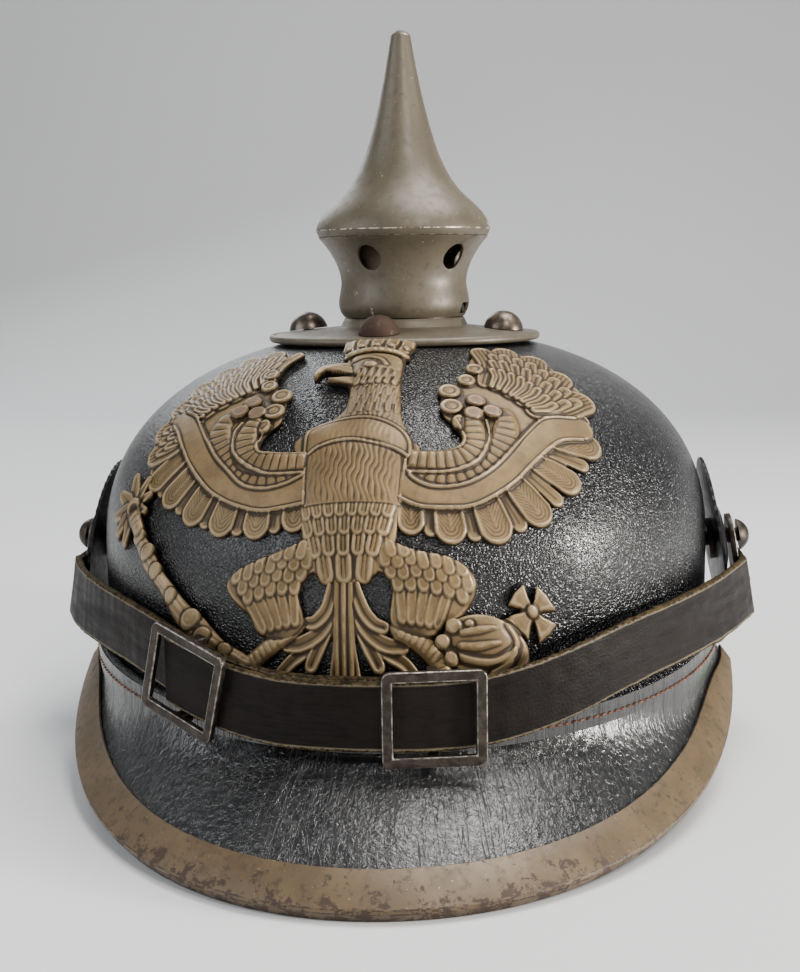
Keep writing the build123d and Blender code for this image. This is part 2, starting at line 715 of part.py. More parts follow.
def make_cockade():
    teeth = []
    for step in range(2 * COCKADE_FLUTES):
        radius = COCKADE_RADIUS - COCKADE_EDGE * (step % 2) / 2
        turn = pi * step / COCKADE_FLUTES
        teeth.append((radius * cos(turn), radius * sin(turn)))
    disc = extrude(make_face(Polyline(*teeth, close=True)), COCKADE_EDGE)
    hub_share = 1 / 3
    hub = turned([(0, 0), (2 * hub_share * COCKADE_RADIUS, 0), (2 * hub_share * COCKADE_RADIUS, COCKADE_EDGE),
                  (hub_share * COCKADE_RADIUS, COCKADE_HUB), (0, COCKADE_HUB)])
    cockade = disc + hub - Cylinder(POST_RADIUS + COCKADE_GAP, 4 * COCKADE_HUB)
    return post_place() * Pos(0, 0, COCKADE_STANDOFF) * cockade


def make_lug():
    foot = LUG_FOOT_WIDTH / 2
    shape = make_hull((Pos(0, 0) * Circle(LUG_RADIUS)).edges()
                      + Polyline((-foot, -LUG_LENGTH), (foot, -LUG_LENGTH)).edges())
    lug = extrude(shape, LUG_SHEET)
    lug -= Cylinder(POST_RADIUS + LUG_HOLE_GAP, 4 * LUG_SHEET)
    lug -= Pos(0, -STRAP_DROP, 0) * Cylinder(LUG_RIVET_SHANK + SEW_GAP, 4 * LUG_SHEET)
    return post_place() * Pos(0, 0, LUG_SEAT) * lug


def rivet_place():
    return post_place() * Pos(0, -STRAP_DROP, LUG_SEAT)


def make_lug_rivet():
    outer_face = LUG_SHEET + SEW_GAP + STRAP_THICK + SEW_GAP
    rivet = upright(0, 0, LUG_RIVET_SHANK, -LUG_RIVET_HEAD, outer_face)
    rivet += upright(0, 0, LUG_RIVET_RADIUS, -LUG_RIVET_HEAD, 0)
    rivet += Pos(0, 0, outer_face) * dome_cap(LUG_RIVET_RADIUS, LUG_RIVET_HEAD)
    return rivet_place() * rivet


def end_stud_place(side):
    x, y, out_x, out_y = seam_point(END_STUD_TURN, True)
    turn = degrees(atan2(out_y, out_x * side))
    return Pos(side * x, y, END_STUD_Z) * Rot(0, 0, turn) * Rot(0, 90, 0)


def make_end_stud(side):
    seat = VISOR_SEAT_GAP + VISOR_LEATHER + 2 * SEW_GAP
    stud = Pos(0, 0, seat) * dome_cap(END_STUD_RADIUS, END_STUD_HEIGHT)
    stud += upright(0, 0, BRAD_SHANK, -LEATHER - INSIDE_GAP, seat)
    return end_stud_place(side) * stud


# Chin strap

def smooth(value, low, high):
    share = min(1, max(0, (value - low) / (high - low)))
    return share * share * (3 - 2 * share)


def visor_top(out):
    """Height of the front visor's upper face at a distance in front of the bowl."""
    line = VisorLine(0, True)
    near, far = 0, 1
    for _ in range(HEIGHT_HALVINGS):
        middle = (near + far) / 2
        if line.at(middle, VISOR_EDGE / 2)[0] < out:
            near = middle
        else:
            far = middle
    return line.at(near, VISOR_EDGE / 2)[1]


STRAP_FRONT_Z = visor_top(STRAP_FRONT_AIR) + STRAP_OVER_VISOR


def strap_path(turn):
    """Place, heading and height of the strap's middle at a turn of its heading from the front."""
    size = abs(turn)
    first = radians(min(size, STRAP_ARC_TURN))
    second = radians(min(max(size, STRAP_ARC_TURN), STRAP_SWEEP_TURN))
    third = radians(max(size, STRAP_SWEEP_TURN))
    arc = radians(STRAP_ARC_TURN)
    sweep = radians(STRAP_SWEEP_TURN)
    x = STRAP_FRONT_RADIUS * sin(first)
    y = STRAP_FRONT_RADIUS - STRAP_FRONT_Y - STRAP_FRONT_RADIUS * cos(first)
    x += STRAP_SWEEP_RADIUS * (sin(second) - sin(arc))
    y += STRAP_SWEEP_RADIUS * (cos(arc) - cos(second))
    x += STRAP_END_RADIUS * (sin(third) - sin(sweep))
    y += STRAP_END_RADIUS * (cos(sweep) - cos(third))
    rise = STRAP_FRONT_Z + (STRAP_HIGH_Z - STRAP_FRONT_Z) * smooth(size, STRAP_RISE_START, STRAP_RISE_END)
    rise += (STRAP_SIDE_Z - STRAP_HIGH_Z) * smooth(size, STRAP_RISE_END, QUARTER_TURN)
    return (x if turn > 0 else -x), y, rise


def solve_strap_arcs():
    """Radii of the second and third arc that bring the strap square past the lug."""
    arc = radians(STRAP_ARC_TURN)
    sweep = radians(STRAP_SWEEP_TURN)
    start_x = STRAP_FRONT_RADIUS * sin(arc)
    start_y = STRAP_FRONT_RADIUS - STRAP_FRONT_Y - STRAP_FRONT_RADIUS * cos(arc)
    a, b = sin(sweep) - sin(arc), 1 - sin(sweep)
    c, d = cos(arc) - cos(sweep), cos(sweep)
    run_x = STRAP_SIDE_X - start_x
    run_y = -LUG_RADIUS - start_y
    size = a * d - b * c
    return (run_x * d - b * run_y) / size, (a * run_y - c * run_x) / size


STRAP_SWEEP_RADIUS, STRAP_END_RADIUS = solve_strap_arcs()


def strap_section(turn, layer, past=0):
    """Cross-section of one strap, on the inner or outer layer in front and on the lug's face at the side."""
    x, y, z = strap_path(turn)
    layer_shift = layer * STRAP_LAYER / 2 * (1 - smooth(abs(turn), STRAP_MERGE_START, STRAP_MERGE_END))
    heading = radians(turn)
    out_x, out_y = sin(heading), -cos(heading)
    lean = radians(POST_LEAN) * smooth(abs(turn), STRAP_ARC_TURN, STRAP_SWEEP_TURN)
    up = (-out_x * sin(lean), -out_y * sin(lean), cos(lean))
    out = (out_x * cos(lean), out_y * cos(lean), sin(lean))
    place = (x + out_x * layer_shift, y + out_y * layer_shift + past, z)
    ahead = Vector(*out).cross(Vector(*up))
    plane = Plane(origin=place, x_dir=out, z_dir=(ahead.X, ahead.Y, ahead.Z))
    return plane * Rectangle(STRAP_THICK, STRAP_WIDTH)


def make_strap(layer):
    """Strap half: layer 1 comes from the viewer's right, layer -1 from the left and lies underneath."""
    loose_end = STRAP_LAP_LEFT if layer > 0 else STRAP_LAP_RIGHT
    side_end = layer * QUARTER_TURN
    steps = round(abs(side_end - loose_end) / STRAP_STATION_TURN)
    sections = []
    for step in range(steps + 1):
        turn = loose_end + (side_end - loose_end) * step / steps
        sections.append(strap_section(turn, layer))
    sections.append(strap_section(side_end, layer, LUG_RADIUS + STRAP_END_Y))
    strap = loft(sections, ruled=True)
    hole = rivet_place() * Cylinder(LUG_RIVET_SHANK + SEW_GAP, 8 * STRAP_THICK)
    return strap - (hole if layer > 0 else mirror(hole, about=Plane.YZ))


def buckle_place(turn, tilt):
    x, y, z = strap_path(turn)
    return Pos(x, y, z) * Rot(0, 0, turn) * Rot(0, tilt, 0) * Rot(90, 0, 0)


def make_buckle(turn, tilt):
    """Frame in front of both layers, and a middle pin between them joined over the strap's edges."""
    front = STRAP_LAYER / 2 + STRAP_THICK / 2 + BUCKLE_GAP
    bar = BUCKLE_BAR
    frame = extrude(RectangleRounded(BUCKLE_WIDTH, BUCKLE_HEIGHT, BUCKLE_CORNER), BUCKLE_SHEET)
    frame -= extrude(Rectangle(BUCKLE_WIDTH - 2 * bar, BUCKLE_HEIGHT - 2 * bar), BUCKLE_SHEET)
    buckle = Pos(0, 0, front) * frame
    leg = front + BUCKLE_PIN / 2 + BUCKLE_SHEET / 2
    for side in (1, -1):
        y = side * (BUCKLE_HEIGHT - bar) / 2
        buckle += Pos(0, y, front + BUCKLE_SHEET / 2 - leg / 2) * Box(bar, bar, leg)
    buckle += Box(bar, BUCKLE_HEIGHT, BUCKLE_PIN)
    return buckle_place(turn, tilt) * buckle


# Liner

def oval_block(offset, low_z, high_z):
    """Upright oval block with the outline of the bowl's wall, moved in or out by the offset."""
    oval = Ellipse(SKULL_HALF_WIDTH + offset, SKULL_HALF_LENGTH + offset)
    return Pos(0, 0, low_z) * extrude(oval, high_z - low_z)


def make_sweatband():
    outside = -LEATHER - BAND_GAP
    top = SEAM_SIDE_Z - SKULL_HEM + BAND_HEIGHT
    band = oval_block(outside, RIM_Z, top) - oval_block(outside - BAND_THICK, RIM_Z, top)
    return band - under_hem(LEATHER)


def tongue_form(offset):
    inset = LEATHER + 2 * BAND_GAP + BAND_THICK - offset
    height = TONGUE_TOP_Z - SKULL_WIDEST_Z + offset
    return bowl(SKULL_HALF_WIDTH - inset, SKULL_HALF_LENGTH - inset, height, RIM_Z)


def make_liner_tongues():
    shell = tongue_form(0) - tongue_form(-TONGUE_THICK)
    foot_z = SEAM_SIDE_Z - SKULL_HEM + BAND_HEIGHT / 2
    tongues = []
    wide = TONGUE_WIDTH / 2
    narrow = TONGUE_TIP_WIDTH / 2
    for step in range(TONGUE_COUNT):
        turn = FULL_TURN * (step + 1 / 2) / TONGUE_COUNT
        petal = make_face(Polyline((TONGUE_TOP_RADIUS, -narrow), (SKULL_HALF_LENGTH, -wide),
                                   (SKULL_HALF_LENGTH, wide), (TONGUE_TOP_RADIUS, narrow), close=True))
        prism = extrude(petal, SKULL_HALF_LENGTH)
        tongues.append(shell & Pos(0, 0, foot_z) * Rot(0, 0, turn) * prism)
    return [solid for tongue in tongues for solid in tongue.solids()]


# Eagle plate, drawn in a plane that leans back over the bowl's front

EAGLE_OUTLINE_SHARES = (
    (-0.04, 0.19), (-0.05, 0.125), (-0.075, 0.09), (-0.125, 0.065), (-0.14, 0.035), (-0.145, 0.005),
    (-0.165, -0.005), (-0.225, 0.005), (-0.245, 0.015), (-0.245, 0.04), (-0.225, 0.06), (-0.225, 0.09),
    (-0.20, 0.095), (-0.185, 0.11), (-0.19, 0.145), (-0.18, 0.175), (-0.185, 0.205), (-0.22, 0.235),
    (-0.235, 0.265), (-0.245, 0.335), (-0.22, 0.37), (-0.195, 0.41), (-0.28, 0.465), (-0.325, 0.43),
    (-0.375, 0.44), (-0.415, 0.405), (-0.45, 0.35), (-0.505, 0.33), (-0.525, 0.29), (-0.525, 0.24),
    (-0.53, 0.205), (-0.56, 0.20), (-0.575, 0.175), (-0.57, 0.13), (-0.56, 0.085), (-0.59, 0.095),
    (-0.585, 0.03), (-0.51, -0.05), (-0.485, -0.065), (-0.48, -0.10), (-0.46, -0.12), (-0.415, -0.13),
    (-0.415, -0.145), (-0.385, -0.155), (-0.375, -0.18), (-0.345, -0.195), (-0.315, -0.19), (-0.28, -0.20),
    (-0.24, -0.22), (-0.215, -0.21), (-0.185, -0.21), (-0.135, -0.22), (-0.12, -0.21), (-0.12, -0.225),
    (-0.145, -0.245), (-0.225, -0.255), (-0.27, -0.265), (-0.305, -0.285), (-0.31, -0.305), (-0.29, -0.335),
    (-0.255, -0.365), (-0.225, -0.41), (-0.265, -0.455), (-0.27, -0.475), (-0.22, -0.495), (-0.11, -0.51),
    (-0.035, -0.53), (0.10, -0.525), (0.185, -0.515), (0.22, -0.50), (0.195, -0.43), (0.215, -0.395),
    (0.255, -0.36), (0.275, -0.32), (0.27, -0.295), (0.245, -0.275), (0.20, -0.26), (0.15, -0.255),
    (0.09, -0.24), (0.085, -0.22), (0.125, -0.225), (0.18, -0.22), (0.22, -0.245), (0.265, -0.22),
    (0.315, -0.23), (0.345, -0.22), (0.375, -0.185), (0.40, -0.175), (0.425, -0.18), (0.455, -0.16),
    (0.465, -0.14), (0.45, -0.12), (0.475, -0.11), (0.505, -0.085), (0.525, -0.06), (0.53, -0.03),
    (0.525, -0.01), (0.55, 0.035), (0.57, 0.055), (0.585, 0.095), (0.575, 0.13), (0.55, 0.155),
    (0.545, 0.195), (0.56, 0.24), (0.555, 0.29), (0.53, 0.32), (0.49, 0.31), (0.475, 0.36),
    (0.445, 0.415), (0.405, 0.435), (0.355, 0.43), (0.325, 0.455), (0.275, 0.435), (0.255, 0.395),
    (0.25, 0.335), (0.245, 0.28), (0.23, 0.24), (0.195, 0.21), (0.185, 0.18), (0.19, 0.15),
    (0.195, 0.12), (0.215, 0.09), (0.215, 0.07), (0.245, 0.03), (0.24, 0.01), (0.22, -0.005),
    (0.14, -0.01), (0.13, 0.02), (0.10, 0.075), (0.09, 0.15), (0.085, 0.27), (0.08, 0.33),
    (0.09, 0.375), (0.085, 0.42), (0.04, 0.475), (-0.025, 0.52), (-0.075, 0.445), (-0.085, 0.435),
    (-0.075, 0.385), (-0.065, 0.34), (-0.075, 0.325), (-0.11, 0.315), (-0.13, 0.29), (-0.14, 0.255),
    (-0.135, 0.24), (-0.095, 0.255), (-0.095, 0.23), (-0.075, 0.21),
)
EAGLE_SCEPTRE_SHARES = (
    (-0.655, -0.01), (-0.665, 0.025), (-0.625, 0.06), (-0.60, 0.04), (-0.585, 0.015), (-0.555, 0.01),
    (-0.50, -0.03), (-0.515, -0.045), (-0.565, -0.05), (-0.555, -0.08), (-0.52, -0.12), (-0.50, -0.17),
    (-0.46, -0.25), (-0.44, -0.27), (-0.44, -0.295), (-0.42, -0.325), (-0.385, -0.35), (-0.36, -0.39),
    (-0.325, -0.425), (-0.26, -0.455), (-0.27, -0.475), (-0.33, -0.455), (-0.39, -0.415), (-0.435, -0.375),
    (-0.45, -0.325), (-0.485, -0.295), (-0.51, -0.245), (-0.56, -0.135), (-0.585, -0.12), (-0.625, -0.085),
    (-0.65, -0.05),
)
EAGLE_WINDOW_SHARES = (
    ((0.035, -0.295), (0.055, -0.295), (0.085, -0.345), (0.07, -0.385), (0.045, -0.38), (0.025, -0.345)),
    ((0.07, -0.42), (0.11, -0.435), (0.07, -0.43)),
    ((0.00, -0.445), (0.035, -0.465), (0.04, -0.495), (0.065, -0.495), (0.075, -0.47), (0.085, -0.505),
     (0.015, -0.51)),
    ((0.135, -0.45), (0.155, -0.465), (0.175, -0.495), (0.15, -0.495), (0.12, -0.47)),
    ((-0.09, -0.285), (-0.07, -0.285), (-0.08, -0.325), (-0.065, -0.345), (-0.08, -0.37), (-0.12, -0.385),
     (-0.13, -0.335), (-0.11, -0.30)),
    ((-0.13, -0.405), (-0.11, -0.415), (-0.13, -0.43), (-0.16, -0.43)),
    ((-0.185, -0.435), (-0.165, -0.455), (-0.19, -0.48), (-0.22, -0.475)),
    ((-0.06, -0.445), (-0.055, -0.46), (-0.065, -0.495), (-0.10, -0.49), (-0.08, -0.465)),
)
EAGLE_RAISED_SHARES = (
    ((-0.03, 0.48), (0.03, 0.45), (0.07, 0.41), (0.075, 0.37), (0.065, 0.33), (0.07, 0.15), (0.08, 0.06),
     (0.095, 0.00), (0.095, -0.14), (0.075, -0.20), (0.02, -0.27), (-0.05, -0.27), (-0.105, -0.20),
     (-0.115, -0.14), (-0.12, 0.00), (-0.07, 0.07), (-0.035, 0.11), (-0.025, 0.19), (-0.06, 0.22),
     (-0.08, 0.27), (-0.12, 0.26), (-0.11, 0.295), (-0.07, 0.31), (-0.05, 0.34), (-0.06, 0.38), (-0.065, 0.43)),
    ((-0.15, -0.26), (-0.22, -0.27), (-0.285, -0.29), (-0.29, -0.305), (-0.265, -0.34), (-0.235, -0.365),
     (-0.16, -0.37), (-0.14, -0.33)),
    ((0.12, -0.26), (0.19, -0.275), (0.245, -0.29), (0.25, -0.32), (0.225, -0.36), (0.19, -0.385),
     (0.12, -0.375), (0.10, -0.33)),
    ((-0.12, -0.075), (-0.22, -0.10), (-0.285, -0.075), (-0.335, -0.03), (-0.375, 0.03), (-0.415, 0.09),
     (-0.435, 0.15), (-0.455, 0.19), (-0.49, 0.20), (-0.50, 0.165), (-0.475, 0.13), (-0.455, 0.08),
     (-0.43, 0.02), (-0.39, -0.04), (-0.35, -0.085), (-0.29, -0.125), (-0.22, -0.145), (-0.12, -0.135)),
    ((0.10, -0.075), (0.20, -0.105), (0.265, -0.085), (0.31, -0.045), (0.35, 0.01), (0.385, 0.08),
     (0.42, 0.13), (0.46, 0.16), (0.49, 0.16), (0.49, 0.12), (0.475, 0.095), (0.445, 0.05),
     (0.40, -0.015), (0.36, -0.07), (0.31, -0.115), (0.26, -0.145), (0.20, -0.155), (0.10, -0.135)),
)
ORB_SHARES = (0.295, -0.435)
ORB_HALF_SHARES = (0.0975, 0.0625)
ORB_NECK_SHARES = ((0.34, -0.40), (0.375, -0.36), (0.405, -0.38), (0.375, -0.425))
CROSS_SHARES = (0.405, -0.35)


def eagle_face(shares):
    return make_face(Polyline(*[(u * EAGLE_HEIGHT, v * EAGLE_HEIGHT) for u, v in shares], close=True))


def eagle_block(flat):
    """Flat shape in the leaning plane, drawn out through the front of the bowl."""
    lean = radians(PLATE_LEAN)
    plane = Plane(origin=(EAGLE_X, 0, 0), x_dir=(1, 0, 0), z_dir=(0, -cos(lean), sin(lean)))
    return extrude(plane * flat, 2 * SKULL_HALF_LENGTH)


def cross_arms():
    """Cross with four widening arms, turned by an eighth."""
    middle_u, middle_v = CROSS_SHARES
    arms = Circle(CROSS_HUB)
    for step in range(4):
        arm = make_face(Polyline((0, 0), (CROSS_REACH, -CROSS_REACH / 2), (CROSS_REACH, CROSS_REACH / 2), close=True))
        arms += Rot(0, 0, 45 + 90 * step) * arm
    return Pos(middle_u * EAGLE_HEIGHT, middle_v * EAGLE_HEIGHT) * arms


def make_eagle_plate():
    flat = eagle_face(EAGLE_OUTLINE_SHARES)
    for shares in EAGLE_WINDOW_SHARES:
        flat -= eagle_face(shares)
    orb_u, orb_v = ORB_SHARES
    half_u, half_v = ORB_HALF_SHARES
    orb_place = Pos(orb_u * EAGLE_HEIGHT, orb_v * EAGLE_HEIGHT)
    flat += orb_place * Ellipse(half_u * EAGLE_HEIGHT, half_v * EAGLE_HEIGHT)
    flat += eagle_face(EAGLE_SCEPTRE_SHARES)
    flat += eagle_face(ORB_NECK_SHARES)
    flat += cross_arms()
    plate = skull_shell(EAGLE_GAP + EAGLE_SHEET, EAGLE_GAP) & eagle_block(flat)
    raised_shell = skull_shell(EAGLE_GAP + EAGLE_SHEET + EAGLE_RAISE, EAGLE_GAP + EAGLE_SHEET / 2)
    rim_keep = ORB_KEEP * EAGLE_HEIGHT
    dome = orb_place * Ellipse(half_u * EAGLE_HEIGHT - rim_keep, half_v * EAGLE_HEIGHT - rim_keep)
    plate += raised_shell & eagle_block(dome)
    for shares in EAGLE_RAISED_SHARES:
        plate += raised_shell & eagle_block(eagle_face(shares))
    return plate - upright(0, 0, PLATE_RADIUS + EAGLE_GAP, SKULL_WIDEST_Z, PLATE_Z + PLATE_RADIUS)


def loop_places():
    """Places on the bowl's outer face, square to it, with X level."""
    places = []
    for side in (1, -1):
        x = EAGLE_X + side * LOOP_X
        share = dome_share(LOOP_Z, 0)
        y = -SKULL_HALF_LENGTH * sqrt(share**2 - (x / SKULL_HALF_WIDTH) ** 2)
        steep = share ** (DOME_POWER - 2)
        out_x = steep * x / SKULL_HALF_WIDTH**2
        out_y = steep * y / SKULL_HALF_LENGTH**2
        out_z = ((LOOP_Z - SKULL_WIDEST_Z) / DOME_HEIGHT) ** (DOME_POWER - 1) / DOME_HEIGHT
        plane = Plane(origin=(x, y, LOOP_Z), x_dir=(-out_y, out_x, 0), z_dir=(out_x, out_y, out_z))
        places.append(plane.location)
    return places


def make_plate_loops():
    loops = []
    foot = -LEATHER - LOOP_DROP
    for place in loop_places():
        loop = Pos(0, 0, foot) * Rot(0, 90, 0) * Cylinder(LOOP_WIRE, LOOP_WIDTH)
        for side in (1, -1):
            x = side * LOOP_WIDTH / 2
            loop += upright(x, 0, LOOP_WIRE, foot, EAGLE_GAP - SEW_GAP)
            loop += Pos(x, 0, foot) * Sphere(LOOP_WIRE)
        loops.append(place * loop)
    return loops


def make_plate_wedges():
    wedges = []
    half = WEDGE_LENGTH / 2
    top = -LEATHER - WEDGE_DROP
    wide = LOOP_WIDTH - 2 * LOOP_WIRE - 2 * BRAD_GAP
    for place in loop_places():
        side = make_face(Polyline((0, -half, top), (0, half, top), (0, half, top - WEDGE_THICK),
                                  (0, -half, top - WEDGE_THICK + WEDGE_TAPER), close=True))
        wedges.append(place * extrude(side, wide / 2, dir=(1, 0, 0), both=True))
    return wedges


# Pieces and their files

def mirrored(shape):
    return mirror(shape, about=Plane.YZ)


def both_sides(shape):
    return [shape, mirrored(shape)]


def save(name, shapes):
    """Writes one node's file, with its pieces moved so that the table is at zero."""
    pieces = shapes if isinstance(shapes, list) else [shapes]
    solids = [solid for piece in pieces for solid in piece.solids()]
    moved = [Pos(0, AXIS_Y, TABLE_Z) * solid for solid in solids]
    export_step(moved[0] if len(moved) == 1 else Compound(moved), f"parts/{name}.step")


def main():
    os.makedirs("parts", exist_ok=True)
    save("skull", make_skull())
    save("front_visor", make_visor(True))
    save("rear_visor", make_visor(False))
    save("front_visor_trim", make_trim())
    save("rear_spine", make_rear_spine())
    save("spine_stud", make_spine_stud())
    save("base_plate", make_base_plate())
    save("bayonet_collar", make_bayonet_collar())
    save("base_studs", make_base_studs())
    save("stud_washers", make_stud_washers())
    save("spike_neck", make_spike_neck())
    save("spike_cone", make_spike_cone())
    save("eagle_plate", make_eagle_plate())
    save("plate_loops", make_plate_loops())
    save("plate_wedges", make_plate_wedges())
    save("cockade_right", make_cockade())
    save("cockade_left", mirrored(make_cockade()))
    save("side_post_right", make_side_post())
    save("side_post_left", mirrored(make_side_post()))
    save("post_nuts", both_sides(make_post_nut()))
    save("strap_lug_right", make_lug())
    save("strap_lug_left", mirrored(make_lug()))
    save("lug_rivets", both_sides(make_lug_rivet()))
    save("strap_right", make_strap(1))
    save("strap_left", make_strap(-1))
    save("buckle_middle", make_buckle(BUCKLE_MIDDLE_TURN, 0))
    save("buckle_left", make_buckle(BUCKLE_LEFT_TURN, BUCKLE_LEFT_TILT))
    save("visor_end_studs", [make_end_stud(1), make_end_stud(-1)])
    save("sweatband", make_sweatband())
    save("liner_tongues", make_liner_tongues())


main()
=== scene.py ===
from math import cos, hypot, pi, radians, sin

import bmesh
import bpy
import numpy as np
from bpy.props import EnumProperty, FloatProperty, FloatVectorProperty, PointerProperty
from mathutils import Matrix, Vector
from mathutils.bvhtree import BVHTree


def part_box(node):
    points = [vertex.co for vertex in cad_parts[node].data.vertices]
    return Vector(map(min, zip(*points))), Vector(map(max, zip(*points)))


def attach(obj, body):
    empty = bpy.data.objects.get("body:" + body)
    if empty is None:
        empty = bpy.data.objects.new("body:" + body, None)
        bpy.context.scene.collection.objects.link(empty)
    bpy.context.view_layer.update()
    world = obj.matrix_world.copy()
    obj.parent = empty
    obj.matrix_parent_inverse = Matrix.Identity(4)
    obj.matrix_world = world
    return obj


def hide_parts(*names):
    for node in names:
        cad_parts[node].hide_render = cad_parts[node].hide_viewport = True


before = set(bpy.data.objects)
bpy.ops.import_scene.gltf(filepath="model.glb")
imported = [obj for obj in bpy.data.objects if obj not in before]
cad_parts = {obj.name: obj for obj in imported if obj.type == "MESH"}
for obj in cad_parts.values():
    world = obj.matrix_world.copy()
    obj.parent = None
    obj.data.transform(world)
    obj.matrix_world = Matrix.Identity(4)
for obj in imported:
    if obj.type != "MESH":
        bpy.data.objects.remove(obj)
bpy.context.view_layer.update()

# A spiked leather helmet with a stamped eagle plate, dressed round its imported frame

bl_info = {
    "name": "Spiked Helmet",
    "version": (1, 0, 0),
    "blender": (4, 5, 0),
    "location": "View3D > Sidebar > Helmet",
    "description": "Dresses a spiked leather helmet piece by piece",
    "category": "Object",
}

MM = 0.001

# The bowl: its plan and the base plate are read from the frame, and its profile is the CAD's
SKULL_LOW, SKULL_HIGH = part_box("skull")
HALF_WIDTH = (SKULL_HIGH.x - SKULL_LOW.x) / 2
HALF_LENGTH = (SKULL_HIGH.y - SKULL_LOW.y) / 2
AXIS_Y = (SKULL_HIGH.y + SKULL_LOW.y) / 2
SEAM_Z = 0.034
WIDEST_Z = 0.059
DOME_HEIGHT = 0.0592
DOME_POWER = 2.3
BASE_PLATE_RADIUS = (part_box("base_plate")[1].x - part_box("base_plate")[0].x) / 2

# The eagle's drawing plane leans back on the bowl
PLATE_LEAN = radians(35)
PLATE_X = -4 * MM
# How far the sheet's underside and its bare edge stand off the bowl, in millimetres
PLATE_UNDERSIDE = 0.35
PLATE_EDGE = 0.75

# The stamping's lines, in millimetres: the moat round a shape, which is sunk and painted dark as a painted
# shadow, a feather's quill, its barbs, and the height over or under its surroundings that counts as a full
# ridge or hollow, painted lighter as a highlight or darker as shade
MOAT_WIDTH = 0.42
MOAT_DEPTH = 0.16
QUILL_HALF = 0.26
BARB_PITCH = 1.15
STREAK_PITCH = 1.25
TONE_HEIGHT = 0.4
TONE_REACH = 1.3
# The share of a grid step over which a shape's edge is softened, and a distance that is well off the sheet
EDGE_SOFTNESS = 1.3
OFF_SHEET = 50.0

# The camera of the photograph, which is 800 by 972 pixels
PHOTO_HEIGHT = 972
CAMERA_TURN = radians(5.0)
CAMERA_RISE = radians(8.8)
CAMERA_ROLL = radians(-0.85)
CAMERA_DISTANCE = 0.420
CAMERA_FOCUS_PIXELS = 1411
CAMERA_SENSOR = 36
CAMERA_AIM_X = -0.002
CAMERA_AIM_Z = 0.072


# Settings a user can change

class HelmetSizes(bpy.types.PropertyGroup):
    relief_step: FloatProperty(
        name="Relief step", description="Grid step of the stamped relief, in millimetres",
        default=0.23, min=0.2, max=1.0)
    feather_rim: FloatProperty(
        name="Feather rim", description="Height of a feather's raised rim, in millimetres", default=0.45)
    grain: FloatProperty(
        name="Leather grain", description="Size of one grain of the bowl's leather", default=0.9 * MM,
        unit="LENGTH", precision=5)
    stitch_pitch: FloatProperty(
        name="Stitch pitch", description="Distance between stitches of the seam", default=2.1 * MM,
        unit="LENGTH", precision=5)
    edge_wear: FloatProperty(
        name="Edge wear", description="Width of the rubbed edges of metal pieces", default=0.15 * MM,
        unit="LENGTH", precision=5)


def colour_property(name, description, default):
    return FloatVectorProperty(name=name, description=description, subtype="COLOR", size=3,
                               min=0, max=1, default=default)


class HelmetColours(bpy.types.PropertyGroup):
    leather: colour_property("Leather", "Black leather of the bowl and the visors", (0.0055, 0.0054, 0.0058))
    strap: colour_property("Strap", "Leather of the chin strap", (0.0080, 0.0056, 0.0046))
    raw_edge: colour_property("Raw edge", "Cut edges of the straps", (0.060, 0.040, 0.017))
    liner: colour_property("Liner", "Thin leather of the liner", (0.30, 0.19, 0.10))
    thread: colour_property("Thread", "Thread of the visor seams", (0.20, 0.070, 0.022))
    grey_paint: colour_property("Grey paint", "Field paint of the spike and its base", (0.085, 0.069, 0.045))
    tan_paint: colour_property("Tan paint", "Field paint of the eagle", (0.160, 0.105, 0.047))
    trim_paint: colour_property("Trim paint", "Field paint of the visor trim", (0.100, 0.067, 0.034))
    bare_metal: colour_property("Bare metal", "Metal where the paint has rubbed off", (0.55, 0.50, 0.40))
    rust: colour_property("Rust", "Rust and old grime", (0.034, 0.018, 0.010))


def sizes():
    return bpy.context.scene.helmet_sizes


def colours():
    return bpy.context.scene.helmet_colours


# Materials

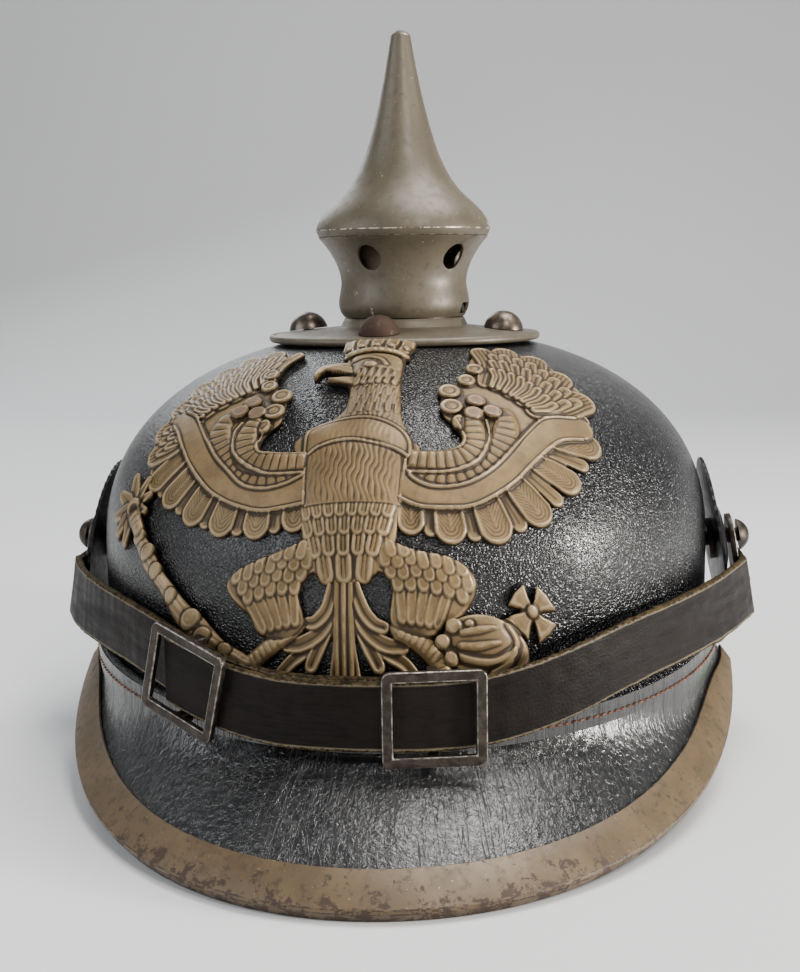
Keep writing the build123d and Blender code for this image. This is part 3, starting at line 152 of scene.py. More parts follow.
class Finish:
    """A material being built: each call adds one shader node and returns its output."""

    def __init__(self, name):
        self.material = bpy.data.materials.new(name)
        self.material.use_nodes = True
        self.tree = self.material.node_tree
        self.tree.nodes.clear()
        self.shader = self.tree.nodes.new("ShaderNodeBsdfPrincipled")
        output = self.tree.nodes.new("ShaderNodeOutputMaterial")
        self.tree.links.new(self.shader.outputs["BSDF"], output.inputs["Surface"])
        place = self.tree.nodes.new("ShaderNodeTexCoord")
        self.place = place.outputs["Object"]
        self.facing = place.outputs["Normal"]

    def put(self, socket, value):
        if isinstance(value, bpy.types.NodeSocket):
            self.tree.links.new(value, socket)
        elif socket.type == "RGBA" and len(value) == 3:
            socket.default_value = (*value, 1)
        else:
            socket.default_value = value

    def node(self, kind, **inputs):
        made = self.tree.nodes.new(kind)
        for key, value in inputs.items():
            self.put(made.inputs[key.replace("_", " ")], value)
        return made

    def read(self, name, output="Fac"):
        made = self.tree.nodes.new("ShaderNodeAttribute")
        made.attribute_name = name
        return made.outputs[output]

    def stretch(self, vector, scale, turn=(0, 0, 0)):
        return self.node("ShaderNodeMapping", Vector=vector, Scale=scale, Rotation=turn).outputs[0]

    def noise(self, scale, detail=3, rough=0.5, vector=None, warp=0):
        made = self.node("ShaderNodeTexNoise", Vector=vector or self.place, Scale=scale, Detail=detail,
                         Roughness=rough, Distortion=warp)
        return made.outputs["Fac"]

    def cells(self, scale, feature="F1", vector=None):
        made = self.node("ShaderNodeTexVoronoi", Vector=vector or self.place, Scale=scale)
        made.feature = feature
        return made.outputs["Distance"]

    def between(self, value, low, high, start=0.0, end=1.0):
        made = self.node("ShaderNodeMapRange", Value=value)
        made.interpolation_type = "SMOOTHSTEP"
        for key, number in (("From Min", low), ("From Max", high), ("To Min", start), ("To Max", end)):
            self.put(made.inputs[key], number)
        return made.outputs[0]

    def maths(self, operation, first, second=0.0):
        made = self.tree.nodes.new("ShaderNodeMath")
        made.operation = operation
        self.put(made.inputs[0], first)
        self.put(made.inputs[1], second)
        return made.outputs[0]

    def times(self, first, second):
        return self.maths("MULTIPLY", first, second)

    def plus(self, first, second):
        return self.maths("ADD", first, second)

    def mix(self, share, first, second):
        made = self.tree.nodes.new("ShaderNodeMix")
        made.data_type = "RGBA"
        self.put(made.inputs[0], share)
        self.put(made.inputs[6], first)
        self.put(made.inputs[7], second)
        return made.outputs[2]

    def part(self, vector, axis):
        return self.node("ShaderNodeSeparateXYZ", Vector=vector).outputs[axis]

    def bump(self, height, depth, under=None, strength=1.0):
        made = self.node("ShaderNodeBump", Height=height, Distance=depth, Strength=strength)
        if under:
            self.put(made.inputs["Normal"], under)
        return made.outputs[0]

    def done(self, colour, rough, normal=None, **constants):
        self.put(self.shader.inputs["Base Color"], colour)
        self.put(self.shader.inputs["Roughness"], rough)
        if normal:
            self.put(self.shader.inputs["Normal"], normal)
        for key, value in constants.items():
            self.put(self.shader.inputs[key.replace("_", " ")], value)
        return self.material


def shade(colour, factor, lift=0.0):
    return tuple(factor * c + lift for c in colour)


FINISHES = {}


def finish_of(make):
    """The material that `make` builds, built once."""
    if make.__name__ not in FINISHES:
        FINISHES[make.__name__] = make()
    return FINISHES[make.__name__]


def bowl_leather():
    f = Finish("bowl_leather")
    grain = 1 / sizes().grain
    warp = f.node("ShaderNodeVectorMath", Vector=f.place)
    warp.operation = "ADD"
    wander = f.node("ShaderNodeTexNoise", Vector=f.place, Scale=grain * 0.9, Detail=2)
    small = f.node("ShaderNodeVectorMath", Vector=wander.outputs["Color"])
    small.operation = "SCALE"
    f.put(small.inputs["Scale"], sizes().grain * 0.9)
    f.put(warp.inputs[1], small.outputs[0])
    pebbles = f.cells(grain, "DISTANCE_TO_EDGE", warp.outputs[0])
    pebble = f.between(pebbles, 0.0, 0.32)
    fine = f.noise(grain * 3.5, 3)
    broad = f.noise(26, 4, 0.6)
    patchy = f.between(f.noise(60, 5, 0.7), 0.35, 0.65)
    scuff = f.between(f.noise(220, 6, 0.75, f.stretch(f.place, (1, 1, 0.35))), 0.63, 0.74)
    dark = colours().leather
    worn = shade(dark, 3.2, 0.004)
    # The gaps between the pebbles are painted darker: painted shade in them.
    colour = f.mix(f.between(pebbles, 0.0, 0.12, 1.0, 0.0), dark, shade(dark, 0.35))
    colour = f.mix(f.times(scuff, 0.55), colour, worn)
    rough = f.plus(f.between(broad, 0.3, 0.7, 0.16, 0.23), f.times(patchy, 0.05))
    rough = f.plus(rough, f.times(scuff, 0.2))
    normal = f.bump(pebble, 0.11 * MM, strength=1.0)
    normal = f.bump(fine, 0.035 * MM, normal, 0.5)
    normal = f.bump(broad, 0.9 * MM, normal, 0.35)
    return f.done(colour, rough, normal, Specular_IOR_Level=0.50)


# Where the front visor's scratches begin and end across the helmet, in metres, as in the photograph
SCRATCHES_FROM = (-0.075, -0.055)
SCRATCHES_TO = (-0.024, -0.006)


def visor_face(name, below, below_share, gloss):
    """Old black leather, cracked across the visor, with another colour under it."""
    f = Finish(name)
    # Cracks run out from the helmet's middle, so the pattern is drawn round its axis
    x = f.part(f.place, 0)
    y = f.maths("SUBTRACT", f.part(f.place, 1), AXIS_Y)
    turn = f.maths("ARCTAN2", x, y)
    reach = f.maths("SQRT", f.plus(f.times(x, x), f.times(y, y)))
    round_place = f.node("ShaderNodeCombineXYZ", X=turn, Y=reach, Z=0.0).outputs[0]

    def lines(field, width):
        """Thin lines where a noise field crosses its middle value."""
        off = f.maths("ABSOLUTE", f.maths("SUBTRACT", field, 0.5))
        return f.between(off, 0.25 * width, width, 1.0, 0.0)

    long_cracks = lines(f.noise(1, 3, 0.55, f.stretch(round_place, (26, 18, 1)), 0.3), 0.008)
    short_cracks = lines(f.noise(1, 3, 0.6, f.stretch(round_place, (60, 70, 1)), 0.4), 0.010)
    short_cracks = f.times(short_cracks, f.between(f.noise(28, 2), 0.44, 0.56))
    scratches = lines(f.noise(1, 1, 0.4, f.stretch(f.place, (40, 200, 60), (0, 0, 0.7))), 0.010)
    crossing = lines(f.noise(1, 1, 0.4, f.stretch(f.place, (200, 50, 60), (0, 0, 0.55))), 0.010)
    scratched = f.times(f.between(x, *SCRATCHES_FROM), f.between(x, *SCRATCHES_TO, 1.0, 0.0))
    scratches = f.times(f.maths("MAXIMUM", scratches, crossing), scratched)
    cracked = f.maths("MAXIMUM", f.maths("MAXIMUM", long_cracks, short_cracks), scratches)
    wrinkles = f.noise(1, 3, 0.6, f.stretch(round_place, (80, 900, 1)), 0.8)
    lumps = f.noise(420, 3, 0.55)
    broad = f.noise(34, 4, 0.6)
    dark = colours().leather
    dusty = shade(dark, 2.6, 0.006)
    colour = f.mix(f.between(f.noise(140, 5, 0.7), 0.5, 0.75), dark, dusty)
    # The cracks and scratches are painted near black: painted shade in them.
    colour = f.mix(f.times(cracked, 0.9), colour, (0.0006, 0.0006, 0.0006))
    down = f.between(f.part(f.facing, 2), -0.25, -0.05, 1.0, 0.0)
    colour = f.mix(f.times(down, below_share), colour, below)
    rough = f.plus(f.between(broad, 0.3, 0.7, 0.24, 0.32), f.times(cracked, 0.4))
    height = f.maths("SUBTRACT", f.times(wrinkles, 1.3), cracked)
    normal = f.bump(height, 0.26 * MM, strength=0.95)
    normal = f.bump(lumps, 0.24 * MM, normal, 0.8)
    normal = f.bump(broad, 1.2 * MM, normal, 0.4)
    return f.done(colour, rough, normal, Specular_IOR_Level=0.9 * gloss)


def front_visor_leather():
    return visor_face("front_visor_leather", (0.020, 0.045, 0.022), 1.0, 1.0)


def rear_visor_leather():
    return visor_face("rear_visor_leather", (0.030, 0.018, 0.010), 0.9, 0.4)


def strap_leather():
    """Creases run along the strap; "lay" holds the place along, across and through it in metres."""
    f = Finish("strap_leather")
    lay = f.read("lay", "Vector")
    creases = f.noise(1, 5, 0.65, f.stretch(lay, (220, 1700, 900)), 0.6)
    long_folds = f.noise(1, 2, 0.5, f.stretch(lay, (60, 420, 300)))
    pores = f.cells(1500)
    edge = f.read("edge")
    fray = f.plus(edge, f.between(f.noise(900, 4, 0.7), 0.3, 0.7, -0.35, 0.35))
    raw = f.between(fray, 0.50, 0.80)
    worn = f.times(f.between(edge, 0.02, 0.25), f.between(fray, 0.45, 0.70, 1.0, 0.0))
    patch = f.between(f.noise(90, 4, 0.7), 0.4, 0.7)
    dark = colours().strap
    # The crease valleys are painted darker: painted shade in them.
    colour = f.mix(f.between(creases, 0.35, 0.6), shade(dark, 0.45), dark)
    colour = f.mix(f.times(patch, 0.4), colour, shade(dark, 1.7))
    colour = f.mix(f.times(worn, 0.7), colour, (0.16, 0.13, 0.085))
    fibre = f.between(f.noise(850, 4, 0.7), 0.38, 0.62)
    colour = f.mix(raw, colour, f.mix(fibre, (0.010, 0.0075, 0.004), colours().raw_edge))
    rough = f.plus(f.between(long_folds, 0.3, 0.7, 0.46, 0.58), f.times(raw, 0.3))
    normal = f.bump(creases, 0.16 * MM, strength=0.7)
    normal = f.bump(long_folds, 0.2 * MM, normal, 0.3)
    normal = f.bump(pores, 0.10 * MM, normal, 0.5)
    return f.done(colour, rough, normal, Specular_IOR_Level=0.10)


def liner_leather():
    f = Finish("liner_leather")
    pores = f.cells(1100)
    soil = f.between(f.noise(45, 5, 0.7), 0.42, 0.7)
    base = colours().liner
    colour = f.mix(f.between(f.noise(160, 4), 0.3, 0.7), base, shade(base, 0.72))
    colour = f.mix(f.times(soil, 0.65), colour, shade(base, 0.28))
    normal = f.bump(pores, 0.10 * MM, strength=0.5)
    normal = f.bump(f.noise(70, 3), 0.9 * MM, normal, 0.5)
    return f.done(colour, f.between(soil, 0, 1, 0.62, 0.45), normal, Specular_IOR_Level=0.35)


def waxed_thread():
    f = Finish("waxed_thread")
    twist = f.noise(2600, 2)
    colour = f.mix(f.between(f.noise(350, 3), 0.35, 0.65), colours().thread,
                   shade(colours().thread, 0.35))
    return f.done(colour, 0.62, f.bump(twist, 0.08 * MM, strength=0.8), Specular_IOR_Level=0.3)


def painted(name, paint, chip_low, grime, soil_top=None, rust_share=0.0):
    """Field paint over steel, with chips, handling marks and, low on the piece, rust."""
    f = Finish(name)
    streak = f.noise(1, 4, 0.6, f.stretch(f.place, (90, 90, 25)))
    mottle = f.noise(420, 5, 0.7)
    colour = f.mix(f.between(streak, 0.35, 0.65), shade(paint, 0.82), shade(paint, 1.12))
    colour = f.mix(f.between(mottle, 0.52, 0.68, 0.0, grime), colour, shade(paint, 0.45))
    chips = f.between(f.noise(170, 5, 0.72, None, 0.4), chip_low, chip_low + 0.03)
    specks = f.between(f.noise(1500, 2, 0.5), 0.72, 0.76)
    bare = f.maths("MAXIMUM", chips, f.times(specks, 0.5))
    metal = f.mix(0.5, colours().bare_metal, (0.42, 0.34, 0.17))
    colour = f.mix(bare, colour, metal)
    rough = f.between(mottle, 0.3, 0.7, 0.40, 0.52)
    if soil_top:
        low = f.between(f.part(f.place, 2), *soil_top, 1.0, 0.0)
        rusty = f.between(f.plus(f.noise(240, 6, 0.75), f.times(low, 0.17)), 0.60, 0.66)
        rusty = f.times(rusty, rust_share)
        colour = f.mix(rusty, colour, colours().rust)
        rough = f.plus(rough, f.times(rusty, 0.25))
    height = f.maths("SUBTRACT", f.times(mottle, 0.4), f.times(bare, 0.6))
    normal = f.bump(height, 0.06 * MM, strength=0.6)
    return f.done(colour, rough, normal, Metallic=0.15, Specular_IOR_Level=0.5)


def grey_paint():
    return painted("grey_paint", colours().grey_paint, 0.68, 0.5)


def trim_paint():
    return painted("trim_paint", colours().trim_paint, 0.74, 0.9, (0.000, 0.010), 0.95)


def relief_paint():
    """Field paint on a stamping: lighter on its ridges, rubbed and with a painted highlight, and dark in its
    hollows and round its shapes, with grime and painted shade.
    """
    f = Finish("relief_paint")
    ridge = f.read("ridge")
    hollow = f.read("hollow")
    copper = f.read("copper")
    paint = colours().tan_paint
    mottle = f.noise(520, 5, 0.7)
    colour = f.mix(f.between(f.noise(120, 4, 0.65), 0.35, 0.65), shade(paint, 0.80),
                   shade(paint, 1.12))
    colour = f.mix(f.between(mottle, 0.5, 0.72, 0.0, 0.4), colour, shade(paint, 0.5))
    # Hollows are painted dark: partly grime, partly painted shade.
    colour = f.mix(f.between(hollow, 0.04, 0.62, 0.0, 0.93), colour, (0.020, 0.0125, 0.006))
    # Ridges are painted lighter: partly rubbed paint, partly a painted highlight.
    rub_and_highlight = f.between(f.plus(ridge, f.between(mottle, 0.3, 0.7, -0.25, 0.2)), 0.35, 0.85)
    colour = f.mix(f.times(rub_and_highlight, 0.6), colour, (0.33, 0.245, 0.140))
    colour = f.mix(f.times(copper, 0.8), colour, (0.110, 0.062, 0.034))
    rough = f.maths("SUBTRACT", f.between(mottle, 0.3, 0.7, 0.42, 0.55), f.times(rub_and_highlight, 0.14))
    normal = f.bump(mottle, 0.10 * MM, strength=0.5)
    return f.done(colour, rough, normal, Metallic=0.22, Specular_IOR_Level=0.29)


def dark_steel():
    f = Finish("dark_steel")
    mottle = f.noise(380, 5, 0.7)
    colour = f.mix(f.between(mottle, 0.4, 0.65), (0.030, 0.024, 0.020), (0.066, 0.054, 0.044))
    colour = f.mix(f.between(f.noise(210, 5, 0.75), 0.56, 0.70), colour, (0.026, 0.015, 0.010))
    rough = f.between(mottle, 0.3, 0.7, 0.36, 0.52)
    return f.done(colour, rough, f.bump(mottle, 0.06 * MM, strength=0.6), Metallic=0.9)


def mottled(name, scale, limits, first, second, rough, depth=0.0, **constants):
    """Two colours mixed by one noise, which also varies the roughness and dents the surface."""
    f = Finish(name)
    mottle = f.noise(scale, 4, 0.7)
    colour = f.mix(f.between(mottle, *limits), first, second)
    if isinstance(rough, tuple):
        rough = f.between(mottle, 0.3, 0.7, *rough)
    normal = f.bump(mottle, depth, strength=0.6) if depth else None
    return f.done(colour, rough, normal, **constants)


def rusty_edge():
    return mottled("rusty_edge", 500, (0.45, 0.6), (0.024, 0.014, 0.009), colours().trim_paint, 0.6,
                   Metallic=0.2)


def rubbed_steel():
    return mottled("rubbed_steel", 600, (0.42, 0.6), (0.09, 0.080, 0.070), (0.27, 0.25, 0.22), (0.26, 0.42),
                   Metallic=0.95)


def rubbed_paint():
    return mottled("rubbed_paint", 500, (0.45, 0.6), colours().grey_paint, colours().bare_metal, 0.42,
                   Metallic=0.45)


def black_lacquer():
    return mottled("black_lacquer", 480, (0.62, 0.72), (0.006, 0.006, 0.007), (0.045, 0.040, 0.036),
                   (0.30, 0.45), 0.10 * MM, Specular_IOR_Level=0.22)


def wedge_leather():
    return mottled("wedge_leather", 700, (0.35, 0.65), (0.075, 0.040, 0.018), (0.15, 0.085, 0.042), 0.7,
                   0.12 * MM)


# Only the front stud of the base has rusted: it lies before this fade, in metres
RUSTY_STUD_FADE = (-0.024, -0.018)


def stud_steel():
    f = Finish("stud_steel")
    mottle = f.noise(420, 5, 0.7)
    front = f.between(f.part(f.place, 1), *RUSTY_STUD_FADE, 1.0, 0.0)
    rusty = f.between(mottle, 0.30, 0.48)
    brown = f.mix(f.between(mottle, 0.4, 0.62), (0.060, 0.046, 0.036), (0.135, 0.105, 0.080))
    colour = f.mix(f.times(front, rusty), brown, (0.050, 0.029, 0.020))
    rough = f.between(f.times(front, rusty), 0, 1, 0.34, 0.75)
    return f.done(colour, rough, f.bump(mottle, 0.08 * MM, strength=0.6), Metallic=0.7)


def pale_sweep():
    f = Finish("pale_sweep")
    colour = f.mix(f.noise(3, 2), (0.62, 0.63, 0.64), (0.66, 0.67, 0.68))
    return f.done(colour, 0.85, None, Specular_IOR_Level=0.2)


# Shared ways of making pieces

def make_object(name, mesh, body, finish, stands_for=()):
    """Links the mesh as a piece on a body, with its finish and the nodes that it stands for."""
    piece = bpy.data.objects.new(name, mesh)
    bpy.context.scene.collection.objects.link(piece)
    mesh.materials.clear()
    for one in finish if isinstance(finish, tuple) else (finish,):
        mesh.materials.append(one)
    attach(piece, body)
    if stands_for:
        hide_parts(*stands_for)
    return piece


def choose(piece):
    bpy.ops.object.select_all(action="DESELECT")
    piece.select_set(True)
    bpy.context.view_layer.objects.active = piece


def smooth(piece, degrees=40):
    choose(piece)
    bpy.ops.object.shade_smooth_by_angle(angle=radians(degrees))


def apply_modifiers(piece):
    choose(piece)
    for modifier in list(piece.modifiers):
        bpy.ops.object.modifier_apply(modifier=modifier.name)


# Corners of loose triangles that are closer than this are one
WELD_REACH = 0.004 * MM


def merged_copy(node, name, body, finish):
    """A copy of a node's mesh with its loose triangles joined up, standing for that node."""
    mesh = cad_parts[node].data.copy()
    mesh.name = name
    shape = bmesh.new()
    shape.from_mesh(mesh)
    bmesh.ops.remove_doubles(shape, verts=shape.verts, dist=WELD_REACH)
    shape.to_mesh(mesh)
    shape.free()
    return make_object(name, mesh, body, finish, (node,))


def worn_copy(node, name, body, finish, rubbed, wear=1.0, degrees=38):
    """The node with its sharp edges rounded and rubbed, `wear` times as wide as the setting says."""
    piece = merged_copy(node, name, body, (finish, rubbed))
    piece.data.polygons.foreach_set("material_index", [0] * len(piece.data.polygons))
    bevel = piece.modifiers.new("rubbed_edges", "BEVEL")
    bevel.width = wear * sizes().edge_wear
    bevel.segments = 2
    bevel.limit_method = "ANGLE"
    bevel.angle_limit = radians(degrees)
    bevel.material = 1
    bevel.use_clamp_overlap = True
    apply_modifiers(piece)
    smooth(piece)
    return piece


def vertex_places(mesh):
    places = np.empty(len(mesh.vertices) * 3)
    mesh.vertices.foreach_get("co", places)
    return places.reshape(-1, 3)


def put_values(mesh, name, values):
    kind = "FLOAT_VECTOR" if values.ndim == 2 else "FLOAT"
    field = mesh.attributes.new(name, kind, "POINT")
    field.data.foreach_set("vector" if values.ndim == 2 else "value", values.ravel().astype(np.float32))


def soft_waves(places, sizes_and_heights, seed):
    """Smooth seeded waves over points, the sum of a few turned sines."""
    turn = np.random.default_rng(seed)
    total = np.zeros(len(places))
    for length, height in sizes_and_heights:
        for _ in range(4):
            way = turn.normal(size=3)
            way /= np.linalg.norm(way)
            total += height / 2 * np.sin(places @ way * 2 * pi / length + turn.uniform(0, 2 * pi))
    return total


# The stamped relief of the eagle

def curve_through(points, count=14, closed=False):
    """Points along a smooth curve through the given ones."""
    given = [np.array(p, float) for p in points]
    if closed:
        ring = [given[-1], *given, given[0], given[1]]
    else:
        ring = [2 * given[0] - given[1], *given, 2 * given[-1] - given[-2]]
    spans = len(ring) - 3
    out = []
    for place in np.linspace(0, spans, count * spans + 1):
        span = min(int(place), spans - 1)
        t = place - span
        a, b, c, d = ring[span:span + 4]
        out.append(0.5 * (2 * b + (c - a) * t + (2 * a - 5 * b + 4 * c - d) * t**2
                          + (3 * b - a - 3 * c + d) * t**3))
    return np.array(out)


def near_line(u, v, line):
    """Distance from the line, signed distance to its left, and the place along it from 0 to 1."""
    nearest = np.full(u.shape, np.inf)
    side = np.zeros(u.shape)
    along = np.zeros(u.shape)
    lengths = np.hypot(*(line[1:] - line[:-1]).T)
    whole = max(lengths.sum(), 1e-9)
    start = 0.0
    for (u0, v0), (u1, v1), length in zip(line[:-1], line[1:], lengths):
        du = (u1 - u0) / max(length, 1e-9)
        dv = (v1 - v0) / max(length, 1e-9)
        t = np.clip((u - u0) * du + (v - v0) * dv, 0, length)
        away = np.hypot(u - u0 - t * du, v - v0 - t * dv)
        closer = away < nearest
        nearest = np.where(closer, away, nearest)
        side = np.where(closer, du * (v - v0) - dv * (u - u0), side)
        along = np.where(closer, (start + t) / whole, along)
        start += length
    return nearest, side, along


def inside_loop(u, v, line):
    odd = np.zeros(u.shape, bool)
    for (u0, v0), (u1, v1) in zip(line[:-1], line[1:]):
        if v0 != v1:
            odd ^= ((v0 > v) != (v1 > v)) & (u < (u1 - u0) * (v - v0) / (v1 - v0) + u0)
    return odd


def soft_step(value):
    value = np.clip(value, 0, 1)
    return value * value * (3 - 2 * value)


def blurred(field, passes):
    for _ in range(passes):
        wide = np.pad(field, 1, mode="edge")
        across = (wide[:-2, 1:-1] + 2 * wide[1:-1, 1:-1] + wide[2:, 1:-1]) / 4
        wide = np.pad(across, 1, mode="edge")
        field = (wide[1:-1, :-2] + 2 * wide[1:-1, 1:-1] + wide[1:-1, 2:]) / 4
    return field


def bowl_level(places, lift):
    """Under 1 inside the bowl's outer face moved out by `lift`, over 1 outside it."""
    across = np.hypot(places[:, 0] / (HALF_WIDTH + lift), (places[:, 1] - AXIS_Y) / (HALF_LENGTH + lift))
    up = np.maximum(places[:, 2] - WIDEST_Z, 0) / (DOME_HEIGHT + lift)
    return across**DOME_POWER + up**DOME_POWER


# The drawing plane is felt back from, this far and by this many halvings, until it meets the bowl
FEEL_REACH = 0.25
FEEL_HALVINGS = 34


def on_bowl(u, v, lift):
    """Points in metres, `lift` millimetres proud of the bowl, behind (u, v) of the drawing plane."""
    base = np.stack([PLATE_X + u * MM, AXIS_Y + v * MM * sin(PLATE_LEAN),
                     SEAM_Z + v * MM * cos(PLATE_LEAN)], 1)
    way = np.array([0, -cos(PLATE_LEAN), sin(PLATE_LEAN)])
    near = np.zeros(len(u))
    far = np.full(len(u), FEEL_REACH)
    for _ in range(FEEL_HALVINGS):
        middle = (near + far) / 2
        out = bowl_level(base + middle[:, None] * way, lift * MM) > 1
        far = np.where(out, middle, far)
        near = np.where(out, near, middle)
    return base + near[:, None] * way


def bead(away, centre=0.45, half=0.27):
    return np.exp(-(((away + centre) / half) ** 2))


class Relief:
    """A stamped sheet over the drawing plane, built up stroke by stroke, in millimetres."""

    def __init__(self, low, high):
        step = sizes().relief_step
        self.step = step
        self.u, self.v = np.meshgrid(np.arange(low[0], high[0], step), np.arange(low[1], high[1], step),
                                     indexing="ij")
        self.height = np.full(self.u.shape, PLATE_EDGE)
        self.base = self.height
        self.outside = np.full(self.u.shape, OFF_SHEET)
        self.dirt_and_shade = np.zeros(self.u.shape)
        self.shine = np.zeros(self.u.shape)
        self.copper = np.zeros(self.u.shape)

    def settle(self):
        """Later strokes with over=True follow the height that the sheet has now."""
        self.base = blurred(self.height, 3)

    def window(self, line, reach):
        low = line.min(0) - reach
        high = line.max(0) + reach
        start = np.floor((low - (self.u[0, 0], self.v[0, 0])) / self.step).astype(int)
        end = np.ceil((high - (self.u[0, 0], self.v[0, 0])) / self.step).astype(int) + 1
        return (slice(max(start[0], 0), max(end[0], 0)), slice(max(start[1], 0), max(end[1], 0)))

    def lay(self, part, away, height, dirt_and_shade=0.0, shine=0.0, cuts=True, moat=1.0):
        """Lays a shape over what is there: `away` is its signed distance, negative inside."""
        inside = soft_step(0.5 - away / (EDGE_SOFTNESS * self.step))
        # A thin line just outside the shape is sunk and painted dark, in the same field as the grime: a
        # painted shadow at the shape's foot.
        line = np.exp(-((np.maximum(away, 0) / MOAT_WIDTH) ** 2)) * (1 - inside) * moat
        self.height[part] = self.height[part] * (1 - inside) + height * inside - MOAT_DEPTH * line
        self.dirt_and_shade[part] = np.maximum(self.dirt_and_shade[part] * (1 - inside) + dirt_and_shade * inside, line)
        self.shine[part] = self.shine[part] * (1 - inside) * (1 - line) + shine * inside
        if cuts:
            self.outside[part] = np.minimum(self.outside[part], away)

    def stroke(self, points, widths, top, rim=0.0, crown=0.0, groove=0.0, quill=0.0, ridges=0.0, pitch=1.0,
               ticks=0.0, tick_pitch=2.0, barbs=0.0, cuts=True, over=False, moat=1.0):
        """A feather, plume or band along a smooth line, with a half width at each given point."""
        line = curve_through(points)
        part = self.window(line, max(widths) + 1.5)
        u = self.u[part]
        v = self.v[part]
        if not u.size:
            return
        away, side, along = near_line(u, v, line)
        width = np.interp(along, np.linspace(0, 1, len(widths)), widths)
        length = np.hypot(*(line[1:] - line[:-1]).T).sum()
        edge = away - width
        share = np.clip(away / np.maximum(width, 0.1), 0, 1)
        rim_line = bead(edge)
        centre = np.exp(-((away / QUILL_HALF) ** 2))
        height = top + crown * (1 - share**2) + rim * rim_line - groove * centre + quill * centre
        # Grooves and the gaps between ridges, ticks and barbs are painted dark, partly grime and partly
        # painted shade; rims, quills and crowns are painted lighter as painted highlights.
        dirt_and_shade = 0.35 * groove / 0.2 * centre
        shine = (rim > 0) * 0.75 * rim_line + (quill > 0) * 0.3 * centre + 0.25 * (crown > 0.5) * (1 - share)
        inner = soft_step((-edge - 0.5) / 0.4)
        if ridges:
            wave = np.cos(2 * pi * side / pitch)
            height = height + ridges * wave * inner
            dirt_and_shade = dirt_and_shade + 0.45 * soft_step(-wave) * inner
        if ticks:
            wave = np.abs(np.sin(pi * along * length / tick_pitch))
            height = height + ticks * (wave**0.6) * inner
            dirt_and_shade = dirt_and_shade + 0.8 * soft_step(1 - 2.4 * wave) * inner
        if barbs:
            wave = np.sin(2 * pi * (along * length + 1.3 * away) / BARB_PITCH)
            height = height + barbs * wave * inner
            dirt_and_shade = dirt_and_shade + 0.3 * soft_step(-wave) * inner
        if over:
            height = height + self.base[part]
        self.lay(part, edge, height, np.clip(dirt_and_shade, 0, 1), np.clip(shine, 0, 1), cuts, moat)

    def patch(self, outline, top, rise=0.0, reach=2.0, streaks=0.0, cuts=True, curved=True, over=False,
              rim=0.0, moat=1.0):
        """A filled outline that swells by `rise` over the distance `reach` from its edge."""
        line = curve_through(outline, 6, closed=True) if curved else np.array([*outline, outline[0]], float)
        part = self.window(line, 1.5)
        u = self.u[part]
        v = self.v[part]
        away, _, _ = near_line(u, v, line)
        away = np.where(inside_loop(u, v, line), -away, away)
        height = top + rise * (1 - np.exp(-np.maximum(-away, 0) / reach)) + rim * bead(away)
        dirt_and_shade = np.zeros(u.shape)
        if streaks:
            wave = np.sin(2 * pi * (u + 0.5 * np.sin(v / 2.1) + 0.25 * np.sin(v / 0.9 + u)) / STREAK_PITCH)
            inner = soft_step(-away / 1.2)
            height = height + streaks * wave * inner
            # The troughs of the streaks are painted dark, partly grime and partly painted shade.
            dirt_and_shade = 0.3 * soft_step(-wave) * inner
        if over:
            height = height + self.base[part]
        self.lay(part, away, height, dirt_and_shade, 0.6 * (rim > 0) * bead(away), cuts, moat)

    def dome(self, u0, v0, half_u, half_v, top, rise, rim=0.0, copper=0.0, cuts=True, over=False):
        line = np.array([(u0, v0), (u0 + 0.01, v0)])
        part = self.window(line, max(half_u, half_v) + 1.5)
        far = np.hypot((self.u[part] - u0) / half_u, (self.v[part] - v0) / half_v)
        away = (far - 1) * min(half_u, half_v)
        height = top + rise * np.sqrt(np.clip(1 - far**2, 0, 1)) + rim * bead(away)
        if over:
            height = height + self.base[part]
        shine = 0.7 * (rim > 0) * bead(away) + 0.3 * (rise > 0.5) * (far < 0.5)
        self.lay(part, away, height, 0.0, shine, cuts)
        if copper:
            self.copper[part] = np.maximum(self.copper[part], copper * soft_step(-away / 0.5))

    def wire(self, points, rise, half=0.30):
        """A raised line over what is there, painted lighter on its crest as a painted highlight, with a line
        of painted shade at each side of it; a sunk line is painted dark along its middle as painted shade.
        """
        line = curve_through(points)
        part = self.window(line, 1.8)
        away, _, _ = near_line(self.u[part], self.v[part], line)
        crest = np.exp(-((away / half) ** 2))
        sides = bead(-away, 2.1 * half, 0.8 * half)
        self.height[part] += rise * crest - 0.3 * abs(rise) * sides
        self.dirt_and_shade[part] = np.maximum(self.dirt_and_shade[part] * (1 - crest), 0.85 * sides if rise > 0 else crest)
        if rise > 0:
            self.shine[part] = np.maximum(self.shine[part], 0.9 * crest)

    def clear_base_plate(self):
        """Cuts the sheet back round the spike's round base."""
        places = on_bowl(self.u.ravel(), self.v.ravel(), 1.0)
        far = np.hypot(places[:, 0], places[:, 1] - AXIS_Y).reshape(self.u.shape) / MM
        self.outside = np.maximum(self.outside, BASE_PLATE_RADIUS / MM + 0.5 - far)

    def piece(self, name, stands_for=()):
        """The sheet as a closed mesh bent to the bowl, with where it is painted lighter (wear and painted
        highlight) and darker (grime and painted shade) as attributes.
        """
        kept = self.outside < 0
        cells = kept[:-1, :-1] | kept[1:, :-1] | kept[:-1, 1:] | kept[1:, 1:]
        height = np.where(kept, self.height, PLATE_EDGE)
        height = np.where(kept, blurred(height, 1), PLATE_EDGE)
        filled = np.where(kept, height, blurred(height, 8))
